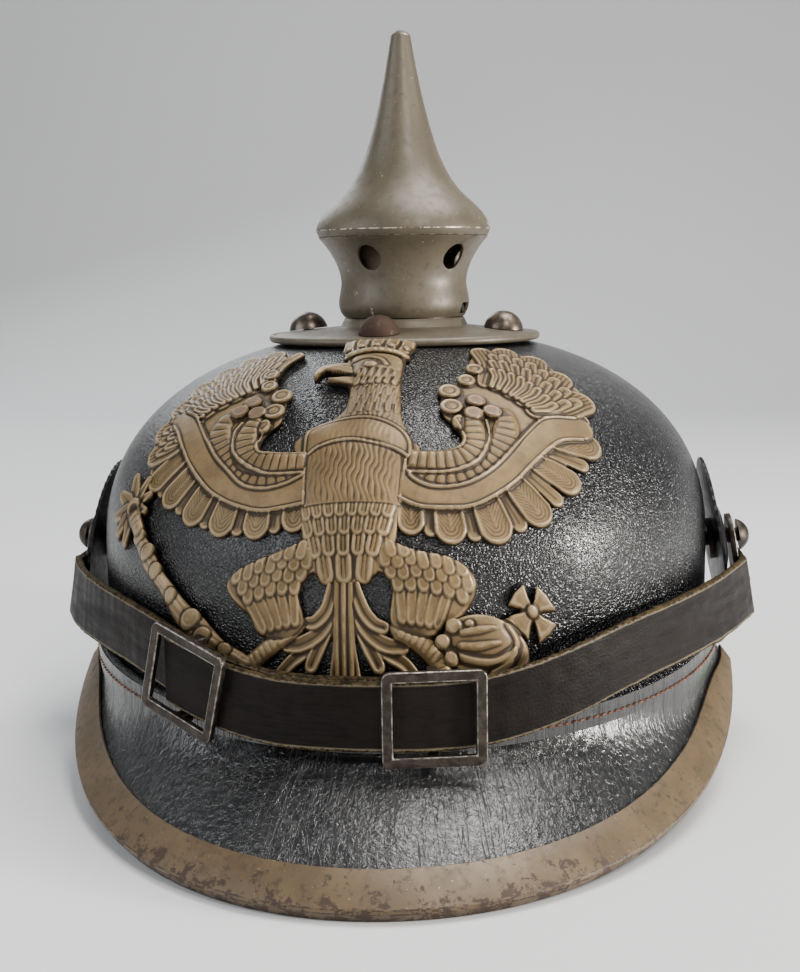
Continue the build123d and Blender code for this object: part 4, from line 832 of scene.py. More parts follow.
        # Where the sheet lies lower than its surroundings it is painted darker as painted shade, and where
        # it stands higher it is painted lighter as a painted highlight.
        relative = (filled - blurred(filled, int((TONE_REACH / self.step) ** 2))) / TONE_HEIGHT
        hollow = np.clip(self.dirt_and_shade - relative, 0, 1)
        ridge = np.clip(0.8 * self.shine + relative, 0, 1)
        slope_u, slope_v = np.gradient(self.outside, self.step)
        size = np.maximum(np.hypot(slope_u, slope_v), 0.3)
        shift = np.clip(np.where(kept, 0, self.outside / size**2), 0, 1.5 * self.step)
        u = self.u - shift * slope_u
        v = self.v - shift * slope_v
        used = np.zeros(kept.shape, bool)
        for du in (0, 1):
            for dv in (0, 1):
                used[du:used.shape[0] - 1 + du, dv:used.shape[1] - 1 + dv] |= cells
        number = np.full(used.shape, -1)
        number[used] = np.arange(used.sum())
        top = on_bowl(u[used], v[used], height[used])
        under = on_bowl(u[used], v[used], np.full(used.sum(), PLATE_UNDERSIDE))
        count = len(top)
        i, j = np.nonzero(cells)
        quads = np.stack([number[i, j], number[i + 1, j], number[i + 1, j + 1], number[i, j + 1]], 1)
        edges = np.concatenate([quads[:, [k, (k + 1) % 4]] for k in range(4)])
        key = np.sort(edges, 1)
        _, first, times = np.unique(key[:, 0] * count + key[:, 1], return_index=True, return_counts=True)
        rim = edges[first[times == 1]]
        walls = np.stack([rim[:, 1], rim[:, 0], rim[:, 0] + count, rim[:, 1] + count], 1)
        faces = np.concatenate([quads, quads[:, ::-1] + count, walls])
        mesh = bpy.data.meshes.new(name)
        mesh.from_pydata(np.concatenate([top, under]).tolist(), [], faces.tolist())
        put_values(mesh, "ridge", np.tile(ridge[used], 2))
        put_values(mesh, "hollow", np.tile(hollow[used], 2))
        put_values(mesh, "copper", np.tile(self.copper[used], 2))
        made = make_object(name, mesh, "helmet", finish_of(relief_paint), stands_for)
        smooth(made, 60)
        return made


# Outlines of the eagle, in millimetres of the drawing plane

WINGS = {
    "left": {
        "box": ((-63, -27), (-9, 51)),
        "ground": (
            (-12, -3), (-16.3, -0.6), (-23.4, 0.6), (-24.6, 3.2), (-22.8, 7), (-20.2, 10), (-19.6, 15.5),
            (-20, 19.2), (-23.2, 24.1), (-24.6, 33), (-25.5, 39), (-34, 40), (-44, 32), (-49, 22),
            (-50, 11), (-46, 1), (-38, -9), (-28, -15), (-14, -16),
        ),
        "feathers": (
            ((-14.6, -20.8), (-14.2, -9), 3.1), ((-24.4, -21.2), (-22.5, -10), 3.4),
            ((-34.2, -18.8), (-29.8, -8), 3.6), ((-42.8, -13.9), (-35.5, -4), 3.5),
            ((-50.2, -7), (-39.5, 2), 3.5), ((-55.8, 0), (-43, 8), 3.5), ((-58, 9), (-45, 13), 3.7),
            ((-57.4, 18), (-45, 17), 4.1), ((-53.4, 27), (-42, 20), 4.1), ((-48.4, 34.6), (-38, 22), 3.9),
            ((-41.8, 40.4), (-34.5, 23.5), 3.7), ((-34.8, 44), (-31, 25), 3.4),
            ((-27.4, 45.4), (-27.5, 27), 3), ((-20, 41.8), (-25.5, 27), 1.7),
        ),
        "plumes_from": 6,
        "ribbon_outer": (
            (-12.5, -14.5), (-17, -15), (-23, -15), (-29.5, -12.5), (-35.5, -8.5), (-39.5, -4), (-43.5, 2),
            (-46.5, 8), (-49, 14), (-51.2, 18),
        ),
        "ribbon_inner": (
            (-12.5, -7), (-17, -9), (-22.5, -9.5), (-28, -7.5), (-32.5, -2.5), (-36, 2), (-38.5, 6.5),
            (-41, 11.5), (-44.5, 18.5), (-48, 22),
        ),
        "coverts": (
            (-13, -4.5), (-19, -6.5), (-25.5, -6.5), (-31.5, -1.5), (-35.5, 5), (-36.5, 10), (-35.5, 14),
        ),
        "arm": ((-12.5, -3.4), (-20, -3), (-26.5, -1), (-28.4, 3.5), (-28.2, 8), (-27, 11.8)),
        "arm_rim": (
            (-12.5, -6.6), (-20.5, -6), (-24.5, -4.6), (-28.5, -1.6), (-31.3, 2), (-32, 5.5), (-32.2, 9),
            (-30.6, 12),
        ),
        "edge_rim": ((-12.5, -0.8), (-20, 0), (-24.2, 0.8), (-25.4, 3.2), (-24.2, 6.8), (-22.8, 9)),
        "clover": ((-28.6, 18.4), (-31.6, 15.6), (-26.8, 14)),
        "lobes": (
            (-21.2, 19.4, 2.8, 2.6), (-22.4, 13.8, 2.9, 2.6), (-24.2, 8.8, 1.7, 2.4),
            (-25.4, 24.6, 2.3, 2.3), (-25.8, 30, 2.2, 2.2),
        ),
        "bow": 0.1,
    },
    "right": {
        "box": ((7, -29), (63, 51)),
        "ground": (
            (11, -3), (17, -1), (23.4, 0.4), (24, 3.5), (22.2, 7.5), (19.4, 10.8), (18.6, 15.5), (19, 20),
            (22.2, 24), (24.2, 31), (26, 39), (33, 41), (43, 37), (50, 27), (50, 14), (50, 4), (44, -6),
            (34, -14), (22, -16), (11, -16),
        ),
        "feathers": (
            ((12.8, -22), (12.6, -9), 3.2), ((22.4, -23.4), (20.5, -10), 3.7),
            ((33.6, -21.8), (28.5, -9.5), 4), ((44.2, -15.5), (35, -5.5), 3.7),
            ((52.2, -4.6), (41, 0), 3.5), ((57.8, 9), (44, 8), 4.1), ((55, 17.6), (44, 14), 3.2),
            ((56.2, 26.5), (42, 17), 4.5), ((49.6, 35.8), (39, 20), 4.1), ((42.2, 43), (36, 22), 3.9),
            ((33.8, 45.4), (32.5, 24), 3.6), ((27.2, 43.6), (29, 25), 3),
        ),
        "plumes_from": 7,
        "ribbon_outer": (
            (9.5, -13.5), (14.5, -15.5), (20.5, -15.5), (26.5, -14.5), (31.5, -11.5), (36.5, -7),
            (40.5, -1.5), (44.5, 4), (48, 8), (53, 10),
        ),
        "ribbon_inner": (
            (11.5, -6.5), (13.5, -9), (17.5, -10.5), (22.5, -10), (27, -8), (31.5, -4), (35.5, 1.5),
            (39.5, 8.5), (44, 14.5), (51.5, 17),
        ),
        "coverts": ((12.5, -4.5), (17, -7.5), (23.5, -7.5), (29.5, -3), (33.5, 3.5), (34.5, 9), (34, 13)),
        "arm": ((12, -3.4), (18, -3.6), (24, -2.4), (27, 1.5), (26.8, 6.5), (26, 10.8)),
        "arm_rim": ((12, -7), (20.5, -6.5), (25.5, -4.6), (28.6, -1.6), (30.3, 3), (30.3, 7), (29.6, 10.6)),
        "edge_rim": ((12, -0.8), (19, -0.2), (23.4, 0.8), (24.6, 3.2), (23.6, 6.4), (22.4, 8.8)),
        "clover": ((27, 16.6), (31, 13.4), (26.6, 12)),
        "lobes": (
            (20.4, 19.6, 2.8, 2.6), (21.2, 13.8, 2.9, 2.6), (23.2, 8.6, 1.7, 2.4), (24.4, 24.8, 2.3, 2.3),
            (26.2, 30.4, 2.3, 2.3),
        ),
        "bow": -0.1,
    },
}

# How strokes lie on top of the sheet, and how a scale does
ON_TOP = dict(over=True, cuts=False)
SCALE = dict(rim=0.24, moat=0.5, **ON_TOP)


def middle_of(first, second, share=0.5):
    return tuple(a + (b - a) * share for a, b in zip(first, second))


def feather(relief, tip, root, half, top, bow=0.0, **how):
    """A round-tipped feather: its line stops a half width short of the tip."""
    length = hypot(tip[0] - root[0], tip[1] - root[1])
    end = middle_of(root, tip, 1 - half / length)
    bend = middle_of(root, end, 0.55)
    bend = (bend[0] - bow * (end[1] - root[1]), bend[1] + bow * (end[0] - root[0]))
    relief.stroke((root, bend, end), (0.72 * half, 0.92 * half, half), top, **how)


def make_wing(side):
    shape = WINGS[side]
    relief = Relief(*shape["box"])
    rim = sizes().feather_rim
    outer = shape["feathers"]
    bow = shape["bow"]
    relief.patch(shape["ground"], 1.2)
    for (tip_a, root_a, half_a), (tip_b, root_b, half_b) in zip(outer[:-1], outer[1:]):
        tip = middle_of(tip_a, tip_b)
        root = middle_of(root_a, root_b)
        feather(relief, middle_of(root, tip, 0.955), root, 0.55 * min(half_a, half_b), 1.05, rim=0.7 * rim,
                groove=0.12)
    for number, (tip, root, half) in enumerate(outer):
        if number < shape["plumes_from"]:
            feather(relief, tip, root, half, 1.45, rim=rim, crown=-0.25, quill=0.16, barbs=0.06)
        else:
            feather(relief, tip, root, half, 1.5, bow, rim=0.85 * rim, crown=0.15, ridges=0.13, pitch=1.15)
    row = outer[shape["plumes_from"]:]
    between_row = [(middle_of(a[0], b[0]), middle_of(a[1], b[1]), 0.5 * (a[2] + b[2]))
                   for a, b in zip(row[:-1], row[1:])]
    for share, wider, top in ((0.80, 0.42, 1.75), (0.60, 0.36, 1.95), (0.36, 0.30, 2.15)):
        for tip, root, half in (*between_row, *row[:-1]):
            feather(relief, middle_of(root, tip, share), middle_of(root, tip, -0.05), wider * half, top, bow,
                    rim=0.55 * rim, groove=0.2, moat=0.75)
    for u, v, half_u, half_v in shape["lobes"]:
        relief.dome(u, v, half_u, half_v, 1.9, 0.5, rim=0.7 * rim)
        relief.dome(u, v, 0.45 * half_u, 0.45 * half_v, 2.1, 0.3)
    relief.stroke(shape["coverts"], (2.9, 3.4, 3.8, 3.8, 3.6, 3.2, 2.4), 1.6, ticks=0.4, tick_pitch=2.3,
                  moat=0)
    outer_rim = curve_through(shape["ribbon_outer"], 1)
    inner_rim = curve_through(shape["ribbon_inner"], 1)
    widths = np.hypot(*(outer_rim - inner_rim).T) / 2
    relief.stroke(((outer_rim + inner_rim) / 2).tolist(), widths.tolist(), 1.95)
    relief.wire(shape["ribbon_outer"], 0.65)
    relief.wire(shape["ribbon_inner"], 0.65)
    relief.stroke(shape["arm"], (2.6, 3.0, 3.3, 3.4, 3.0, 2.0), 1.8, crown=0.35, ticks=0.4, tick_pitch=2.1)
    relief.wire(shape["arm_rim"], 0.65)
    relief.wire(shape["edge_rim"], 0.5)
    for u, v in shape["clover"]:
        relief.dome(u, v, 2.4, 2.1, 2.5, 0.25, rim=0.15, copper=1.0, cuts=False)
    relief.clear_base_plate()
    return relief.piece(f"eagle_wing_{side}", ("eagle_plate",) if side == "left" else ())


BREAST = (
    (-12.8, -2), (-13.2, 2), (-13.2, 5), (-10.4, 7.2), (-7.4, 8.6), (-4.6, 12), (-4, 16.5), (-4.3, 20.5),
    (-5.8, 24), (-6.2, 29), (-6.4, 34), (-7.2, 39), (-8.4, 45), (-3, 48), (5, 48), (10.2, 44.5), (9.2, 39),
    (8.6, 33), (8.6, 23), (9, 15), (9.8, 8.4), (11.2, 5), (12.6, 1), (12.8, -3), (11.4, -9), (11, -15),
    (10, -20), (9, -24.5), (4.5, -31), (-2.5, -32.5), (-8.5, -31), (-12, -24), (-12.6, -20), (-13, -14),
    (-13.2, -8),
)
THIGHS = {
    -1: (
        (-9, -21.5), (-12.5, -22.8), (-16.7, -24.3), (-23, -25.7), (-28.9, -27.4), (-31.4, -29.6),
        (-29.8, -32.9), (-25.9, -36.5), (-23.4, -40.6), (-17.6, -42.4), (-12.2, -39.8), (-13, -33.8),
        (-10.8, -30.3), (-7, -28.6),
    ),
    1: (
        (6, -21.5), (9, -23.4), (13.6, -25.1), (21.7, -26.1), (26.3, -28.3), (27.9, -31.2), (26.6, -34.8),
        (23.4, -38.6), (20.5, -39.6), (17.8, -42.2), (13, -42.2), (8.2, -39.8), (8.6, -33.8), (6.9, -30.6),
        (3.8, -28.8),
    ),
}
PLUMES = (
    (((-5.8, -41.5), (-11.5, -45), (-14.9, -46.6), (-18.2, -49)), (1.1, 1.4, 1.6, 1.5)),
    (((1.4, -41.8), (7, -45.9), (11.1, -47.8), (14.2, -50.9)), (1.1, 1.4, 1.6, 1.5)),
    (((-4.4, -38.4), (-6.5, -41.4), (-8.9, -45), (-10.6, -48)), (1.1, 1.4, 1.7, 1.6)),
    (((0, -39), (1.4, -42), (3.7, -45.8), (5.2, -48.4)), (1.1, 1.4, 1.7, 1.6)),
    (((-3.6, -34), (-5.4, -38.2), (-8.6, -41.8), (-13, -43.6), (-16.2, -43.5)), (1.2, 1.5, 1.7, 1.8, 1.6)),
    (((-0.8, -34), (0.6, -38.3), (3.2, -42), (7.2, -44.3), (11, -44.4)), (1.2, 1.5, 1.7, 1.8, 1.6)),
    (((-4.6, -31), (-5.6, -34.6), (-6.8, -37.4), (-9.2, -39.4), (-11.4, -39.6)), (1.3, 1.5, 1.6, 1.6, 1.3)),
    (((-0.6, -31), (0.6, -34.6), (2.2, -37.9), (4.4, -40.1), (6.8, -40.9)), (1.3, 1.5, 1.6, 1.6, 1.3)),
)
LEGS = (
    (((-14, -39.6), (-18.3, -42.2), (-22.9, -44.7), (-27, -47)), (2.3, 2.1, 2, 2.2)),
    (((10.5, -41), (15.2, -43.7), (18.6, -46.6), (20.6, -50.5)), (2.5, 2.3, 2.3, 2.6)),
)
# Rows of feathers on the breast: their tips' height, half width and places across
BREAST_ROWS = (
    (-32, 1.9, (-6.5, 2.2, -2.3)),
    (-27, 1.6, (-8.9, -5.6, -2.3, 1, 4.3)),
    (-22.6, 1.45, (-10.8, -7.9, -5, -2.1, 0.8, 3.7, 6.6)),
    (-18.6, 1.35, (-11.3, -8.6, -5.9, -3.2, -0.5, 2.2, 4.9, 7.6)),
)
# The edges of the arched ribbon over the breast
RIBBON_TOP = ((-13, -2), (-13.1, 1.2), (-12.8, 4.8), (-10.2, 6.9), (-4.9, 8.1), (1.6, 8.1), (6.3, 6.8),
              (10, 4.4), (11.9, 1.2), (12.2, -2.6))
RIBBON_FOOT = ((-12.8, -2.1), (-8.8, 0), (-2.9, 1.1), (3.1, 0.3), (9.5, -1.9), (12.2, -3.4))


def rows_of_scales(relief, side):
    """Scales over a thigh, in rows that bow down at both ends, wherever the sheet is there."""
    for row, v in enumerate((-32.6, -30.2, -27.8, -25.8)):
        for step in range(7):
            u = side * (9.2 + 2.9 * step + 1.3 * (row % 2)) - 2
            low = v - 0.010 * (abs(u + 2) - 15) ** 2 + 0.3 * sin(3.1 * step + row)
            i = int(round((u - relief.u[0, 0]) / relief.step))
            j = int(round((low - relief.v[0, 0]) / relief.step))
            if relief.outside[i, j] < -1.0:
                relief.stroke(((u - side * 0.6, low + 2.2), (u, low)), (1.2, 1.5), 0.15, crown=0.3, **SCALE)


def make_lower_body():
    """Thighs, legs and tail."""
    relief = Relief((-35, -57), (31, -19))
    rim = sizes().feather_rim
    for line, widths in PLUMES:
        relief.stroke(line, widths, 1.25, rim=rim, groove=0.1, crown=-0.1)
    relief.stroke(((-2.4, -28), (-2.6, -38), (-2.6, -46), (-2.6, -54)), (2.3, 2.1, 2.9, 4.4), 1.5,
                  ridges=0.3, pitch=1.7)
    for line, widths in LEGS:
        relief.stroke(line, widths, 1.3, crown=0.8, ticks=0.3, tick_pitch=1.5)
    for side, outline in THIGHS.items():
        relief.patch(outline, 1.2, 1.1, 2.2, rim=0.2)
        relief.settle()
        for step in range(5):
            share = step / 4
            top_place = middle_of((side * 12.5 - 2, -32.5), (side * 24.5 - 2.5, -31.5), share)
            foot = middle_of((side * 12.6 - 1.6, -39.2), (side * 20.6 - 1.6, -39.8), share)
            relief.stroke((top_place, middle_of(top_place, foot), foot), (1.1, 1.25, 1.15), 0.1,
                          quill=0.1, **SCALE)
        rows_of_scales(relief, side)
    return relief.piece("eagle_lower")


def make_body():
    """Head with its crown, neck and breast."""
    relief = Relief((-16, -37), (15, 50))
    rim = sizes().feather_rim
    relief.patch(BREAST, 1.4, 2.0, 3.2, streaks=0.10)
    relief.settle()
    for v, half, places in BREAST_ROWS:
        for u in places:
            lean = 0.16 * (u + 2)
            relief.stroke(((u + lean, v + 6.2), (u + 0.4 * lean, v + 3), (u, v + half * 0.7)),
                          (0.75 * half, half, half), 0.25, rim=0.6 * rim, ridges=0.14, pitch=0.95, over=True,
                          cuts=v < -30, moat=0.6)
    # The arched ribbon and the field over the breast stay bare of letters
    relief.patch(((-12.2, -1.6), (-4, 0.9), (3, 0.2), (10.2, -2.4), (10.4, -15.6), (-12.0, -15.6)), 0.15,
                 streaks=0.07, curved=False, **ON_TOP)
    relief.stroke(((-12.9, 1.6), (-9.2, 3.6), (-2.8, 4.7), (3.0, 4.4), (8.0, 2.4), (11.8, -0.6)),
                  (3.0, 3.3, 3.5, 3.6, 3.4, 2.6), 0.35, over=True)
    for line, rise in ((RIBBON_TOP, 0.6), (RIBBON_FOOT, 0.6),
                       (((-12.5, -2.4), (-12.6, -8), (-12.4, -14.5)), 0.4),
                       (((11.4, -3.6), (10.9, -8), (10.6, -14.5)), 0.4)):
        relief.wire(line, rise)
    make_head(relief)
    relief.clear_base_plate()
    return relief.piece("eagle_body")


def make_head(relief):
    """Neck feathers, beak, head, eye and crown, on the body's sheet."""
    rim = sizes().feather_rim
    for row in range(5):
        v = 10.8 + 3.1 * row
        for step in range(6):
            u = -2.9 + 2.25 * step + 1.1 * (row % 2) - 0.1 * row
            relief.stroke(((u + 0.5, v + 5.4), (u + 0.2, v + 2.4), (u, v)), (0.45, 0.75, 0.6), 0.25,
                          groove=0.25, moat=0.55, **ON_TOP)
    relief.stroke(((-1.5, 22.4), (-6.0, 23.6), (-9.6, 23.9)), (1.7, 1.3, 0.5), 2.3, crown=0.5, rim=0.15)
    relief.stroke(((-1.0, 27.0), (-5.4, 28.4), (-10.2, 28.8), (-12.4, 27.4), (-13.4, 25.0)),
                  (2.6, 2.4, 1.8, 1.2, 0.4), 2.9, crown=0.7, rim=0.2)
    relief.wire(((-3.0, 25.4), (-6.8, 26.0), (-10.4, 26.2)), -0.5, 0.3)
    relief.wire(((-4.4, 27.4), (-8.0, 28.4), (-10.6, 28.0)), 0.3, 0.3)
    relief.patch(((-4.4, 29.5), (-2.5, 24.2), (2.5, 22.6), (7.4, 24.5), (8.3, 29.5), (6.8, 33.6), (0, 34.4),
                  (-4.6, 33.4)), 0.5, 0.6, 1.6, **ON_TOP)
    relief.wire(((-4.2, 31.0), (-1.0, 32.0), (2.6, 30.9), (4.4, 28.6)), 0.5, 0.45)
    relief.dome(0.6, 28.2, 1.7, 1.3, 0.9, 0.7, rim=0.15, **ON_TOP)
    for step in range(6):
        u = -2.6 + 1.9 * step
        relief.stroke(((u + 1.0, 26.2), (u, 21.4)), (0.45, 0.75), 0.6, groove=0.2, moat=0.6, **ON_TOP)
    for step in range(5):
        u = -5.9 + 3.35 * step
        wide = u + 0.16 * (u - 0.9)
        relief.stroke(((u, 36.6), (wide, 40.5), (wide + 0.3, 46.5)), (1.4, 1.7, 1.6), 0.35, rim=rim,
                      over=True)
        relief.dome(wide, 39.4, 1.0, 1.0, 0.6, 0.5, **ON_TOP)
    relief.stroke(((-6.6, 35.4), (0.8, 36.4), (8.6, 35.2)), (1.1, 1.25, 1.1), 0.7, crown=0.35, rim=0.2,
                  ticks=0.35, tick_pitch=2.0, over=True)


# The sceptre's shaft, the knots on it, and its head's leaves as angle, reach and half width
SHAFT = ((-58.6, -10), (-53.5, -19.5), (-48.5, -26.5), (-44.6, -32), (-39.6, -37.2), (-33.5, -42),
         (-26.5, -46.6))
KNOTS = ((-57.6, -11.6, 2.6, 1.9), (-54.6, -16.4, 2.8, 2.2), (-52, -21.4, 2.5, 2), (-47.4, -28.2, 2.3, 1.9),
         (-41.6, -34.6, 3.6, 2.6), (-38.6, -38.8, 3.2, 2.2), (-32.4, -42.8, 2.4, 1.9))
LEAVES = ((14, 5.6, 1.5), (52, 7.4, 1.6), (92, 9, 1.9), (128, 8.4, 2), (166, 6.6, 2.1), (206, 6.4, 2),
          (246, 7.2, 1.8), (330, 4.6, 1.6))
LEAF_ROOT = (-60.5, -3)


def make_sceptre():
    relief = Relief((-71, -52), (-20, 11))
    relief.stroke(SHAFT, (1.5, 2.3, 1.7, 2.3, 3.0, 1.8, 2.0), 1.6, crown=1.0, ridges=0.12, pitch=1.5)
    relief.settle()
    for u, v, half_u, half_v in KNOTS:
        relief.dome(u, v, 0.85 * half_u, 0.85 * half_v, 1.9, 1.0, rim=0.3)
    for angle, reach, half in LEAVES:
        way = radians(angle)
        tip = (LEAF_ROOT[0] + reach * cos(way), LEAF_ROOT[1] + reach * sin(way))
        relief.stroke((LEAF_ROOT, middle_of(LEAF_ROOT, tip), tip), (1.0, half, 0.65 * half), 1.7, rim=0.35,
                      crown=0.3, groove=0.2)
    relief.dome(-60.3, -3.2, 2.2, 2.2, 2.4, 0.9, rim=0.25)
    relief.stroke(((-60, -5), (-58, -10)), (2.1, 1.8), 2.0, crown=0.6, ticks=0.3, tick_pitch=1.6)
    return relief.piece("eagle_sceptre")


# One arm of the orb's cross, as places along it and off its middle line
CROSS_ARM = ((0, -0.9), (2.2, -1.5), (4.9, -3.1), (5.3, 0), (4.9, 3.1), (2.2, 1.5), (0, 0.9))


def make_orb():
    relief = Relief((13, -54), (51, -26))
    relief.stroke(((33, -41), (38.6, -36.2)), (3.2, 1.7), 1.5, crown=0.8, ticks=0.25, tick_pitch=1.7)
    relief.dome(29.8, -43.4, 10.2, 6.6, 1.3, 2.5, rim=0.25)
    relief.settle()
    relief.wire(((35.0, -38.6), (37.0, -41.5), (35.6, -45.5), (31.6, -48.6)), 0.5, 0.5)
    relief.wire(((20.6, -45.0), (26, -46.6), (32, -46.4), (36.4, -43.6)), 0.4, 0.5)
    for u, v, half in ((22.6, -40.2, 2.0), (20.0, -43.4, 1.8), (22.0, -46.6, 1.7), (26.2, -39.6, 1.2)):
        relief.dome(u, v, half, 0.85 * half, 2.4, 0.8, rim=0.2)
    for line in (((24.5, -41.5), (28.5, -40.6), (32, -39.6)), ((24.2, -44.2), (28, -44), (33, -42.6))):
        relief.stroke(line, (0.7, 0.8, 0.4), 0.15, crown=0.3, moat=0.5, **ON_TOP)
    middle = np.array([40.6, -34.6])
    for angle in (143, 50, -42, 228):
        way = np.array([cos(radians(angle)), sin(radians(angle))])
        side = np.array([-way[1], way[0]])
        corners = [middle + out * way + off * side for out, off in CROSS_ARM]
        relief.patch(corners, 1.7, 0.4, 1.0, rim=0.2, curved=False)
    relief.dome(*middle, 1.3, 1.3, 2.2, 0.5)
    return relief.piece("eagle_orb")


# Stage

# The floor runs from in front of the helmet to a bend behind it, and up into a wall, in metres
FLOOR_FRONT = -3.0
FLOOR_HALF = 4
BEND_START = 0.9
BEND_RADIUS = 0.7
WALL_TOP = 3.2
# Each lamp's place, size, power in watts and tint
LAMPS = {
    "key_light": ((0.42, -0.72, 0.85), 0.26, 7.0, (1.0, 0.95, 0.88)),
    "side_light": ((0.96, -0.26, 0.18), 0.18, 18.0, (1.0, 0.96, 0.90)),
    "fill_light": ((-0.85, -0.55, 0.50), 0.80, 7.5, (0.92, 0.96, 1.0)),
    "top_light": ((0.30, 0.10, 1.06), 0.62, 16.0, (1.0, 0.98, 0.95)),
    "back_light": ((-0.55, 0.95, 0.70), 0.60, 5.0, (0.94, 0.97, 1.0)),
}
LAMP_AIM_Z = 0.09


def make_stage():
    steps = [(FLOOR_FRONT, 0.0), (BEND_START, 0.0)]
    for degrees in range(6, 91, 6):
        turn = radians(degrees)
        steps.append((BEND_START + BEND_RADIUS * sin(turn), BEND_RADIUS - BEND_RADIUS * cos(turn)))
    steps.append((BEND_START + BEND_RADIUS, WALL_TOP))
    places = []
    for y, z in steps:
        places += [(-FLOOR_HALF, y, z), (FLOOR_HALF, y, z)]
    faces = [(2 * k, 2 * k + 1, 2 * k + 3, 2 * k + 2) for k in range(len(steps) - 1)]
    mesh = bpy.data.meshes.new("floor_sweep")
    mesh.from_pydata(places, [], faces)
    sweep = bpy.data.objects.new("floor_sweep", mesh)
    bpy.context.scene.collection.objects.link(sweep)
    mesh.materials.append(finish_of(pale_sweep))
    smooth(sweep)
    world = bpy.data.worlds.new("soft_room")
    world.use_nodes = True
    light = world.node_tree.nodes["Background"].inputs
    light["Color"].default_value = (0.93, 0.96, 1.0, 1)
    light["Strength"].default_value = 0.25
    bpy.context.scene.world = world
    aim = Vector((0, AXIS_Y, LAMP_AIM_Z))
    for name, (place, size, watts, tint) in LAMPS.items():
        lamp = bpy.data.lights.new(name, "AREA")
        lamp.size = size
        lamp.energy = watts
        lamp.color = tint
        holder = bpy.data.objects.new(name, lamp)
        holder.location = place
        holder.rotation_euler = (aim - Vector(place)).to_track_quat("-Z", "Y").to_euler()
        bpy.context.scene.collection.objects.link(holder)


def make_camera():
    back = Vector((sin(CAMERA_TURN) * cos(CAMERA_RISE), -cos(CAMERA_TURN) * cos(CAMERA_RISE),
                   sin(CAMERA_RISE)))
    right = Vector((cos(CAMERA_TURN), sin(CAMERA_TURN), 0))
    up = back.cross(right)
    level = right * cos(CAMERA_ROLL) + up * sin(CAMERA_ROLL)
    rise = back.cross(level)
    place = Vector((0, AXIS_Y, CAMERA_AIM_Z)) + right * CAMERA_AIM_X + back * CAMERA_DISTANCE
    lens = bpy.data.cameras.new("photo_camera")
    lens.sensor_width = CAMERA_SENSOR
    lens.sensor_fit = "AUTO"
    lens.lens = CAMERA_SENSOR * CAMERA_FOCUS_PIXELS / PHOTO_HEIGHT
    lens.clip_start = 0.01
    camera = bpy.data.objects.new("photo_camera", lens)
    camera.matrix_world = Matrix.Translation(place) @ Matrix((level, rise, back)).transposed().to_4x4()
    bpy.context.scene.collection.objects.link(camera)
    bpy.context.scene.camera = camera


# Leather

def finish_node(node, finish):
    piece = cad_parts[node]
    piece.data.materials.clear()
    piece.data.materials.append(finish)


def soften(piece, voxel, waves, seed):
    """Rounds a leather piece's edges and gives it gentle hand-made unevenness."""
    remesh = piece.modifiers.new("even_skin", "REMESH")
    remesh.mode = "VOXEL"
    remesh.voxel_size = voxel
    relax = piece.modifiers.new("relax", "SMOOTH")
    relax.factor = 0.5
    relax.iterations = 2
    apply_modifiers(piece)
    mesh = piece.data
    places = vertex_places(mesh)
    normals = np.empty(len(mesh.vertices) * 3)
    mesh.vertices.foreach_get("normal", normals)
    places += normals.reshape(-1, 3) * soft_waves(places, waves, seed)[:, None]
    mesh.vertices.foreach_set("co", places.ravel())
    mesh.update()
    smooth(piece, 60)


# A strap's middle line is measured in bins of heading, in radians, and its length on a mean radius
STRAP_END = 2.2
STRAP_BIN = 0.035
STRAP_BINS = 131
STRAP_RADIUS = 0.09
# Where the cut edge begins across a strap and how wide its fade is, as shares of the half width
CUT_EDGE_SHARE = 0.86
CUT_FADE_SHARE = 0.12


def strap_frame(mesh):
    """Place along, across and through a strap, and how near its cut edge each point is."""
    places = vertex_places(mesh)
    heading = np.arctan2(places[:, 0], -(places[:, 1] - AXIS_Y))
    bins = np.clip(((heading + STRAP_END) / STRAP_BIN).astype(int), 0, STRAP_BINS - 1)
    low = np.full(STRAP_BINS, np.inf)
    high = np.full(STRAP_BINS, -np.inf)
    np.minimum.at(low, bins, places[:, 2])
    np.maximum.at(high, bins, places[:, 2])
    seen = high > -np.inf
    centre = (np.arange(STRAP_BINS) + 0.5) * STRAP_BIN - STRAP_END
    middle = np.interp(heading, centre[seen], (low[seen] + high[seen]) / 2)
    half = np.interp(heading, centre[seen], (high[seen] - low[seen]) / 2)
    across = places[:, 2] - middle
    far = np.hypot(places[:, 0], places[:, 1] - AXIS_Y)
    lay = np.stack([heading * STRAP_RADIUS, across, far], 1)
    edge = soft_step((np.abs(across) / np.maximum(half, 1e-4) - CUT_EDGE_SHARE) / CUT_FADE_SHARE)
    return lay, edge


# The soft pieces' voxel sizes, and their waves as lengths and heights
STRAP_VOXEL = 0.45 * MM
STRAP_WAVES = ((14 * MM, 0.05 * MM), (5 * MM, 0.03 * MM))
TONGUE_VOXEL = 1.05 * MM
TONGUE_WAVES = ((45 * MM, 0.35 * MM), (16 * MM, 0.12 * MM))
SWEATBAND_VOXEL = 0.8 * MM
SWEATBAND_WAVES = ((60 * MM, 0.08 * MM),)


def make_strap(node, seed):
    piece = merged_copy(node, node + "_leather", "chinstrap", finish_of(strap_leather))
    soften(piece, STRAP_VOXEL, STRAP_WAVES, seed)
    lay, edge = strap_frame(piece.data)
    put_values(piece.data, "lay", lay)
    put_values(piece.data, "edge", edge)


def make_liner(node, name, voxel, waves, seed):
    soften(merged_copy(node, name, "helmet", finish_of(liner_leather)), voxel, waves, seed)


# Stitches

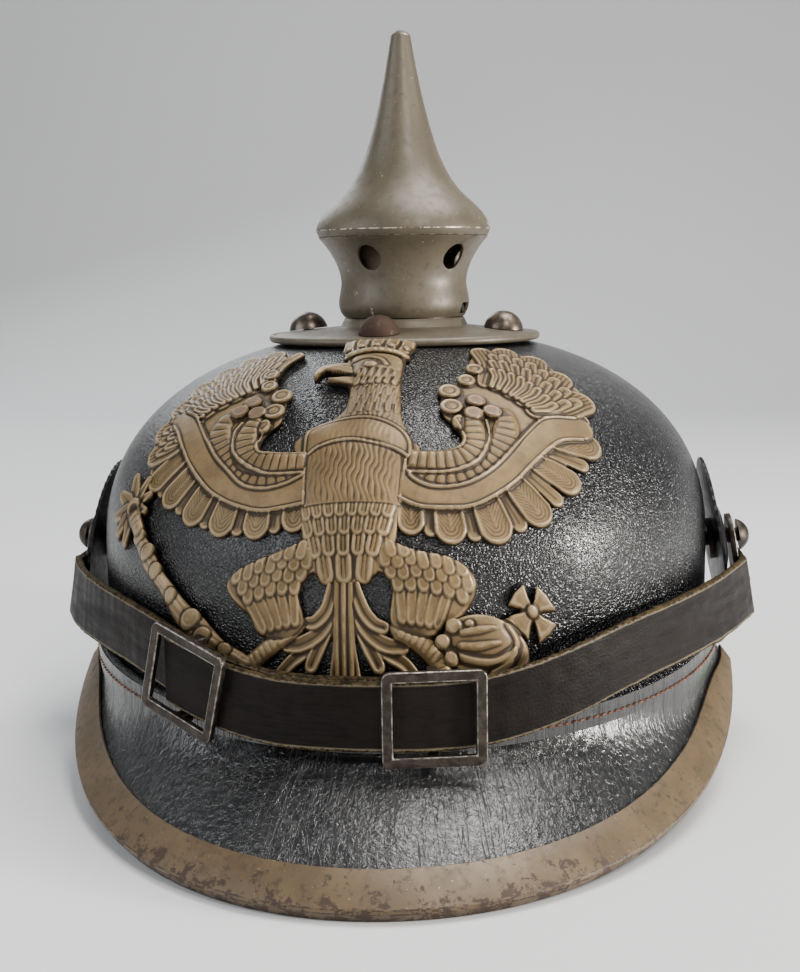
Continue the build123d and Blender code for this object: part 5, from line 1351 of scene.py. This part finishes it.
def stitch_shape():
    """One stitch lying along X: a short thread that dips at both ends, 1 long and 1 wide."""
    half = ((-0.5, -0.5, 0.10), (-0.38, -0.1, 0.42), (-0.18, 0.22, 0.5))
    rings = (*half, *((-x, z, radius) for x, z, radius in reversed(half)))
    sides = 6
    places = []
    for x, z, radius in rings:
        for k in range(sides):
            turn = 2 * pi * k / sides
            places.append((x, radius * cos(turn), z + radius * sin(turn)))
    last = sides * (len(rings) - 1)
    faces = [(r + k, r + sides + k, r + sides + (k + 1) % sides, r + (k + 1) % sides)
             for r in range(0, last, sides) for k in range(sides)]
    faces += [tuple(range(sides)), tuple(last + k for k in reversed(range(sides)))]
    return np.array(places), faces


def sew(name, seats, finish, length, width, slant):
    """Stitches at the given seats, each a place, its way along the seam and its outward normal."""
    stitch, stitch_faces = stitch_shape()
    places = []
    faces = []
    for place, along, normal in seats:
        side = normal.cross(along).normalized()
        way = (along * cos(slant) + side * sin(slant)).normalized()
        side = normal.cross(way)
        base = len(places)
        for x, y, z in stitch:
            places.append(place + way * (x * length) + side * (y * width) + normal * (z * width))
        faces += [tuple(base + k for k in face) for face in stitch_faces]
    mesh = bpy.data.meshes.new(name)
    mesh.from_pydata([tuple(p) for p in places], [], faces)
    shape = bmesh.new()
    shape.from_mesh(mesh)
    bmesh.ops.recalc_face_normals(shape, faces=shape.faces)
    shape.to_mesh(mesh)
    shape.free()
    smooth(make_object(name, mesh, "helmet", finish), 60)


def node_tree(node):
    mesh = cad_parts[node].data
    places = [v.co.copy() for v in mesh.vertices]
    return BVHTree.FromPolygons(places, [tuple(p.vertices) for p in mesh.polygons])


# How far a seam runs to each side of the helmet's middle, and the steps it is felt out in
SEAM_TURN = radians(79)
SEAM_STEPS = 1400


def seam_seats(tree, way, out, pitch):
    """Seats on a visor's upper face, at an even pitch, `out` from the bowl's side."""
    seats = []
    last = None
    for turn in np.linspace(-SEAM_TURN, SEAM_TURN, SEAM_STEPS):
        x = HALF_WIDTH * sin(turn)
        y = way * HALF_LENGTH * cos(turn)
        outward = Vector((x / HALF_WIDTH**2, y / HALF_LENGTH**2, 0)).normalized()
        start = Vector((x, AXIS_Y + y, WIDEST_Z)) + outward * out
        place, normal, _, _ = tree.ray_cast(start, Vector((0, 0, -1)))
        if place is None or normal.z < 0.1:
            continue
        if last is None or (place - last).length >= pitch:
            if last is not None:
                along = (place - last).normalized()
                seats.append((place, along, (normal - along * normal.dot(along)).normalized()))
            last = place
    return seats


# From the bowl's side to the middle of a visor's turned-up edge, and from there out to the seam's pieces
SEAM_OUT = 1.95 * MM
THREAD_OUT = 1.5 * MM
WELT_OUT = 0.3 * MM
# The stitches lie this far under the edge, and more at the helmet's sides
THREAD_DROP = 2.4 * MM
THREAD_SIDE_DROP = 1.6 * MM
# A stitch's share of its pitch, its width and its slant, and the length, width and slant of a welt's notch
THREAD_SHARE = 0.85
THREAD_WIDTH = 0.50 * MM
THREAD_SLANT = 0.12
WELT_LENGTH = 2.9 * MM
WELT_WIDTH = 1.0 * MM
WELT_SLANT = 1.3


def make_seam(node, name, way):
    """A notched welt along the top of the visor's turned-up edge, and the stitches under it."""
    up = Vector((0, 0, 1))
    pitch = sizes().stitch_pitch
    threads = []
    welts = []
    for number, (place, along, _) in enumerate(seam_seats(node_tree(node), way, SEAM_OUT, 0.5 * pitch)):
        side = Vector((along.y, -along.x, 0)).normalized()
        outward = side if side.dot(place - Vector((0, AXIS_Y, place.z))) > 0 else -side
        drop = THREAD_DROP + THREAD_SIDE_DROP * (place.x / HALF_WIDTH) ** 2
        if number % 2:
            threads.append((place + outward * THREAD_OUT - up * drop, along, outward))
        welts.append((place + outward * WELT_OUT, along, (outward + up).normalized()))
    sew(name + "_thread", threads, finish_of(waxed_thread), pitch * THREAD_SHARE, THREAD_WIDTH, THREAD_SLANT)
    sew(name + "_welt", welts, finish_of(bowl_leather), WELT_LENGTH, WELT_WIDTH, WELT_SLANT)


# Operators

class HELMET_OT_stage(bpy.types.Operator):
    """Adds the floor, the lights and the camera"""
    bl_idname = "helmet.stage"
    bl_label = "Stage"
    bl_options = {"REGISTER", "UNDO"}

    def execute(self, context):
        make_camera()
        make_stage()
        return {"FINISHED"}


class HELMET_OT_bowl(bpy.types.Operator):
    """Finishes the leather bowl and its two visors"""
    bl_idname = "helmet.bowl"
    bl_label = "Bowl and visors"
    bl_options = {"REGISTER", "UNDO"}

    def execute(self, context):
        finish_node("skull", finish_of(bowl_leather))
        finish_node("front_visor", finish_of(front_visor_leather))
        finish_node("rear_visor", finish_of(rear_visor_leather))
        return {"FINISHED"}


class HELMET_OT_seams(bpy.types.Operator):
    """Sews the visors to the bowl"""
    bl_idname = "helmet.seams"
    bl_label = "Seams"
    bl_options = {"REGISTER", "UNDO"}

    def execute(self, context):
        make_seam("front_visor", "front_seam", -1)
        make_seam("rear_visor", "rear_seam", 1)
        return {"FINISHED"}


class HELMET_OT_metalwork(bpy.types.Operator):
    """Finishes the spike, its base, the trim, the spine and the studs"""
    bl_idname = "helmet.metalwork"
    bl_label = "Metalwork"
    bl_options = {"REGISTER", "UNDO"}

    def execute(self, context):
        paint = finish_of(grey_paint)
        rubbed = finish_of(rubbed_paint)
        worn_copy("front_visor_trim", "visor_trim_painted", "helmet", finish_of(trim_paint),
                  finish_of(rusty_edge), wear=1.2)
        worn_copy("base_plate", "base_plate_painted", "helmet", paint, rubbed)
        worn_copy("spike_neck", "spike_neck_painted", "spike", paint, rubbed, wear=1.2)
        worn_copy("spike_cone", "spike_cone_painted", "spike", paint, rubbed, degrees=30)
        worn_copy("rear_spine", "rear_spine_painted", "helmet", paint, rubbed)
        for node in ("base_studs", "spine_stud", "visor_end_studs"):
            finish_node(node, finish_of(stud_steel))
        for node in ("bayonet_collar", "stud_washers", "plate_loops", "post_nuts"):
            finish_node(node, finish_of(dark_steel))
        finish_node("plate_wedges", finish_of(wedge_leather))
        return {"FINISHED"}


class HELMET_OT_wing(bpy.types.Operator):
    """Stamps one wing of the eagle"""
    bl_idname = "helmet.wing"
    bl_label = "Eagle wing"
    bl_options = {"REGISTER", "UNDO"}
    side: EnumProperty(name="Side", description="Which wing, as the viewer sees it",
                       items=(("left", "Left", ""), ("right", "Right", "")))

    def execute(self, context):
        make_wing(self.side)
        return {"FINISHED"}


class HELMET_OT_eagle_body(bpy.types.Operator):
    """Stamps the eagle's head, breast, thighs, legs and tail"""
    bl_idname = "helmet.eagle_body"
    bl_label = "Eagle body"
    bl_options = {"REGISTER", "UNDO"}

    def execute(self, context):
        make_lower_body()
        make_body()
        return {"FINISHED"}


class HELMET_OT_regalia(bpy.types.Operator):
    """Stamps the sceptre and the orb in the eagle's claws"""
    bl_idname = "helmet.regalia"
    bl_label = "Sceptre and orb"
    bl_options = {"REGISTER", "UNDO"}

    def execute(self, context):
        make_sceptre()
        make_orb()
        return {"FINISHED"}


class HELMET_OT_side_fittings(bpy.types.Operator):
    """Finishes the cockades, the side posts and the strap lugs"""
    bl_idname = "helmet.side_fittings"
    bl_label = "Cockades and posts"
    bl_options = {"REGISTER", "UNDO"}

    def execute(self, context):
        for side in ("left", "right"):
            finish_node(f"cockade_{side}", finish_of(black_lacquer))
            finish_node(f"side_post_{side}", finish_of(dark_steel))
            worn_copy(f"strap_lug_{side}", f"strap_lug_{side}_worn", "chinstrap", finish_of(dark_steel),
                      finish_of(rubbed_steel), wear=4 / 3)
        finish_node("lug_rivets", finish_of(dark_steel))
        return {"FINISHED"}


class HELMET_OT_strap(bpy.types.Operator):
    """Cuts the two halves of the chin strap and their buckles"""
    bl_idname = "helmet.strap"
    bl_label = "Chin strap"
    bl_options = {"REGISTER", "UNDO"}

    def execute(self, context):
        make_strap("strap_left", seed=4)
        make_strap("strap_right", seed=5)
        for place in ("middle", "left"):
            worn_copy(f"buckle_{place}", f"buckle_{place}_worn", f"buckle_{place}_slide",
                      finish_of(dark_steel), finish_of(rubbed_steel), wear=2)
        return {"FINISHED"}


class HELMET_OT_liner(bpy.types.Operator):
    """Makes the soft liner and the sweatband"""
    bl_idname = "helmet.liner"
    bl_label = "Liner"
    bl_options = {"REGISTER", "UNDO"}

    def execute(self, context):
        make_liner("liner_tongues", "liner_leather_tongues", TONGUE_VOXEL, TONGUE_WAVES, seed=7)
        make_liner("sweatband", "sweatband_leather", SWEATBAND_VOXEL, SWEATBAND_WAVES, seed=8)
        return {"FINISHED"}


OPERATORS = (HELMET_OT_stage, HELMET_OT_bowl, HELMET_OT_seams, HELMET_OT_metalwork, HELMET_OT_wing,
             HELMET_OT_eagle_body, HELMET_OT_regalia, HELMET_OT_side_fittings, HELMET_OT_strap,
             HELMET_OT_liner)


class HELMET_PT_pieces(bpy.types.Panel):
    """Lists the helmet's pieces in the sidebar"""
    bl_label = "Helmet"
    bl_idname = "HELMET_PT_pieces"
    bl_space_type = "VIEW_3D"
    bl_region_type = "UI"
    bl_category = "Helmet"

    def draw(self, context):
        for group in (context.scene.helmet_sizes, context.scene.helmet_colours):
            for name in group.bl_rna.properties.keys():
                if name not in ("rna_type", "name"):
                    self.layout.prop(group, name)
        for operator in OPERATORS:
            self.layout.operator(operator.bl_idname)


CLASSES = (HelmetSizes, HelmetColours, *OPERATORS, HELMET_PT_pieces)


def register():
    for one in CLASSES:
        bpy.utils.register_class(one)
    bpy.types.Scene.helmet_sizes = PointerProperty(type=HelmetSizes)
    bpy.types.Scene.helmet_colours = PointerProperty(type=HelmetColours)


def unregister():
    del bpy.types.Scene.helmet_colours
    del bpy.types.Scene.helmet_sizes
    for one in reversed(CLASSES):
        bpy.utils.unregister_class(one)


def main():
    register()
    bpy.ops.helmet.stage()
    bpy.ops.helmet.bowl()
    bpy.ops.helmet.seams()
    bpy.ops.helmet.metalwork()
    bpy.ops.helmet.wing(side="left")
    bpy.ops.helmet.wing(side="right")
    bpy.ops.helmet.eagle_body()
    bpy.ops.helmet.regalia()
    bpy.ops.helmet.side_fittings()
    bpy.ops.helmet.strap()
    bpy.ops.helmet.liner()


if __name__ == "__main__":
    main()
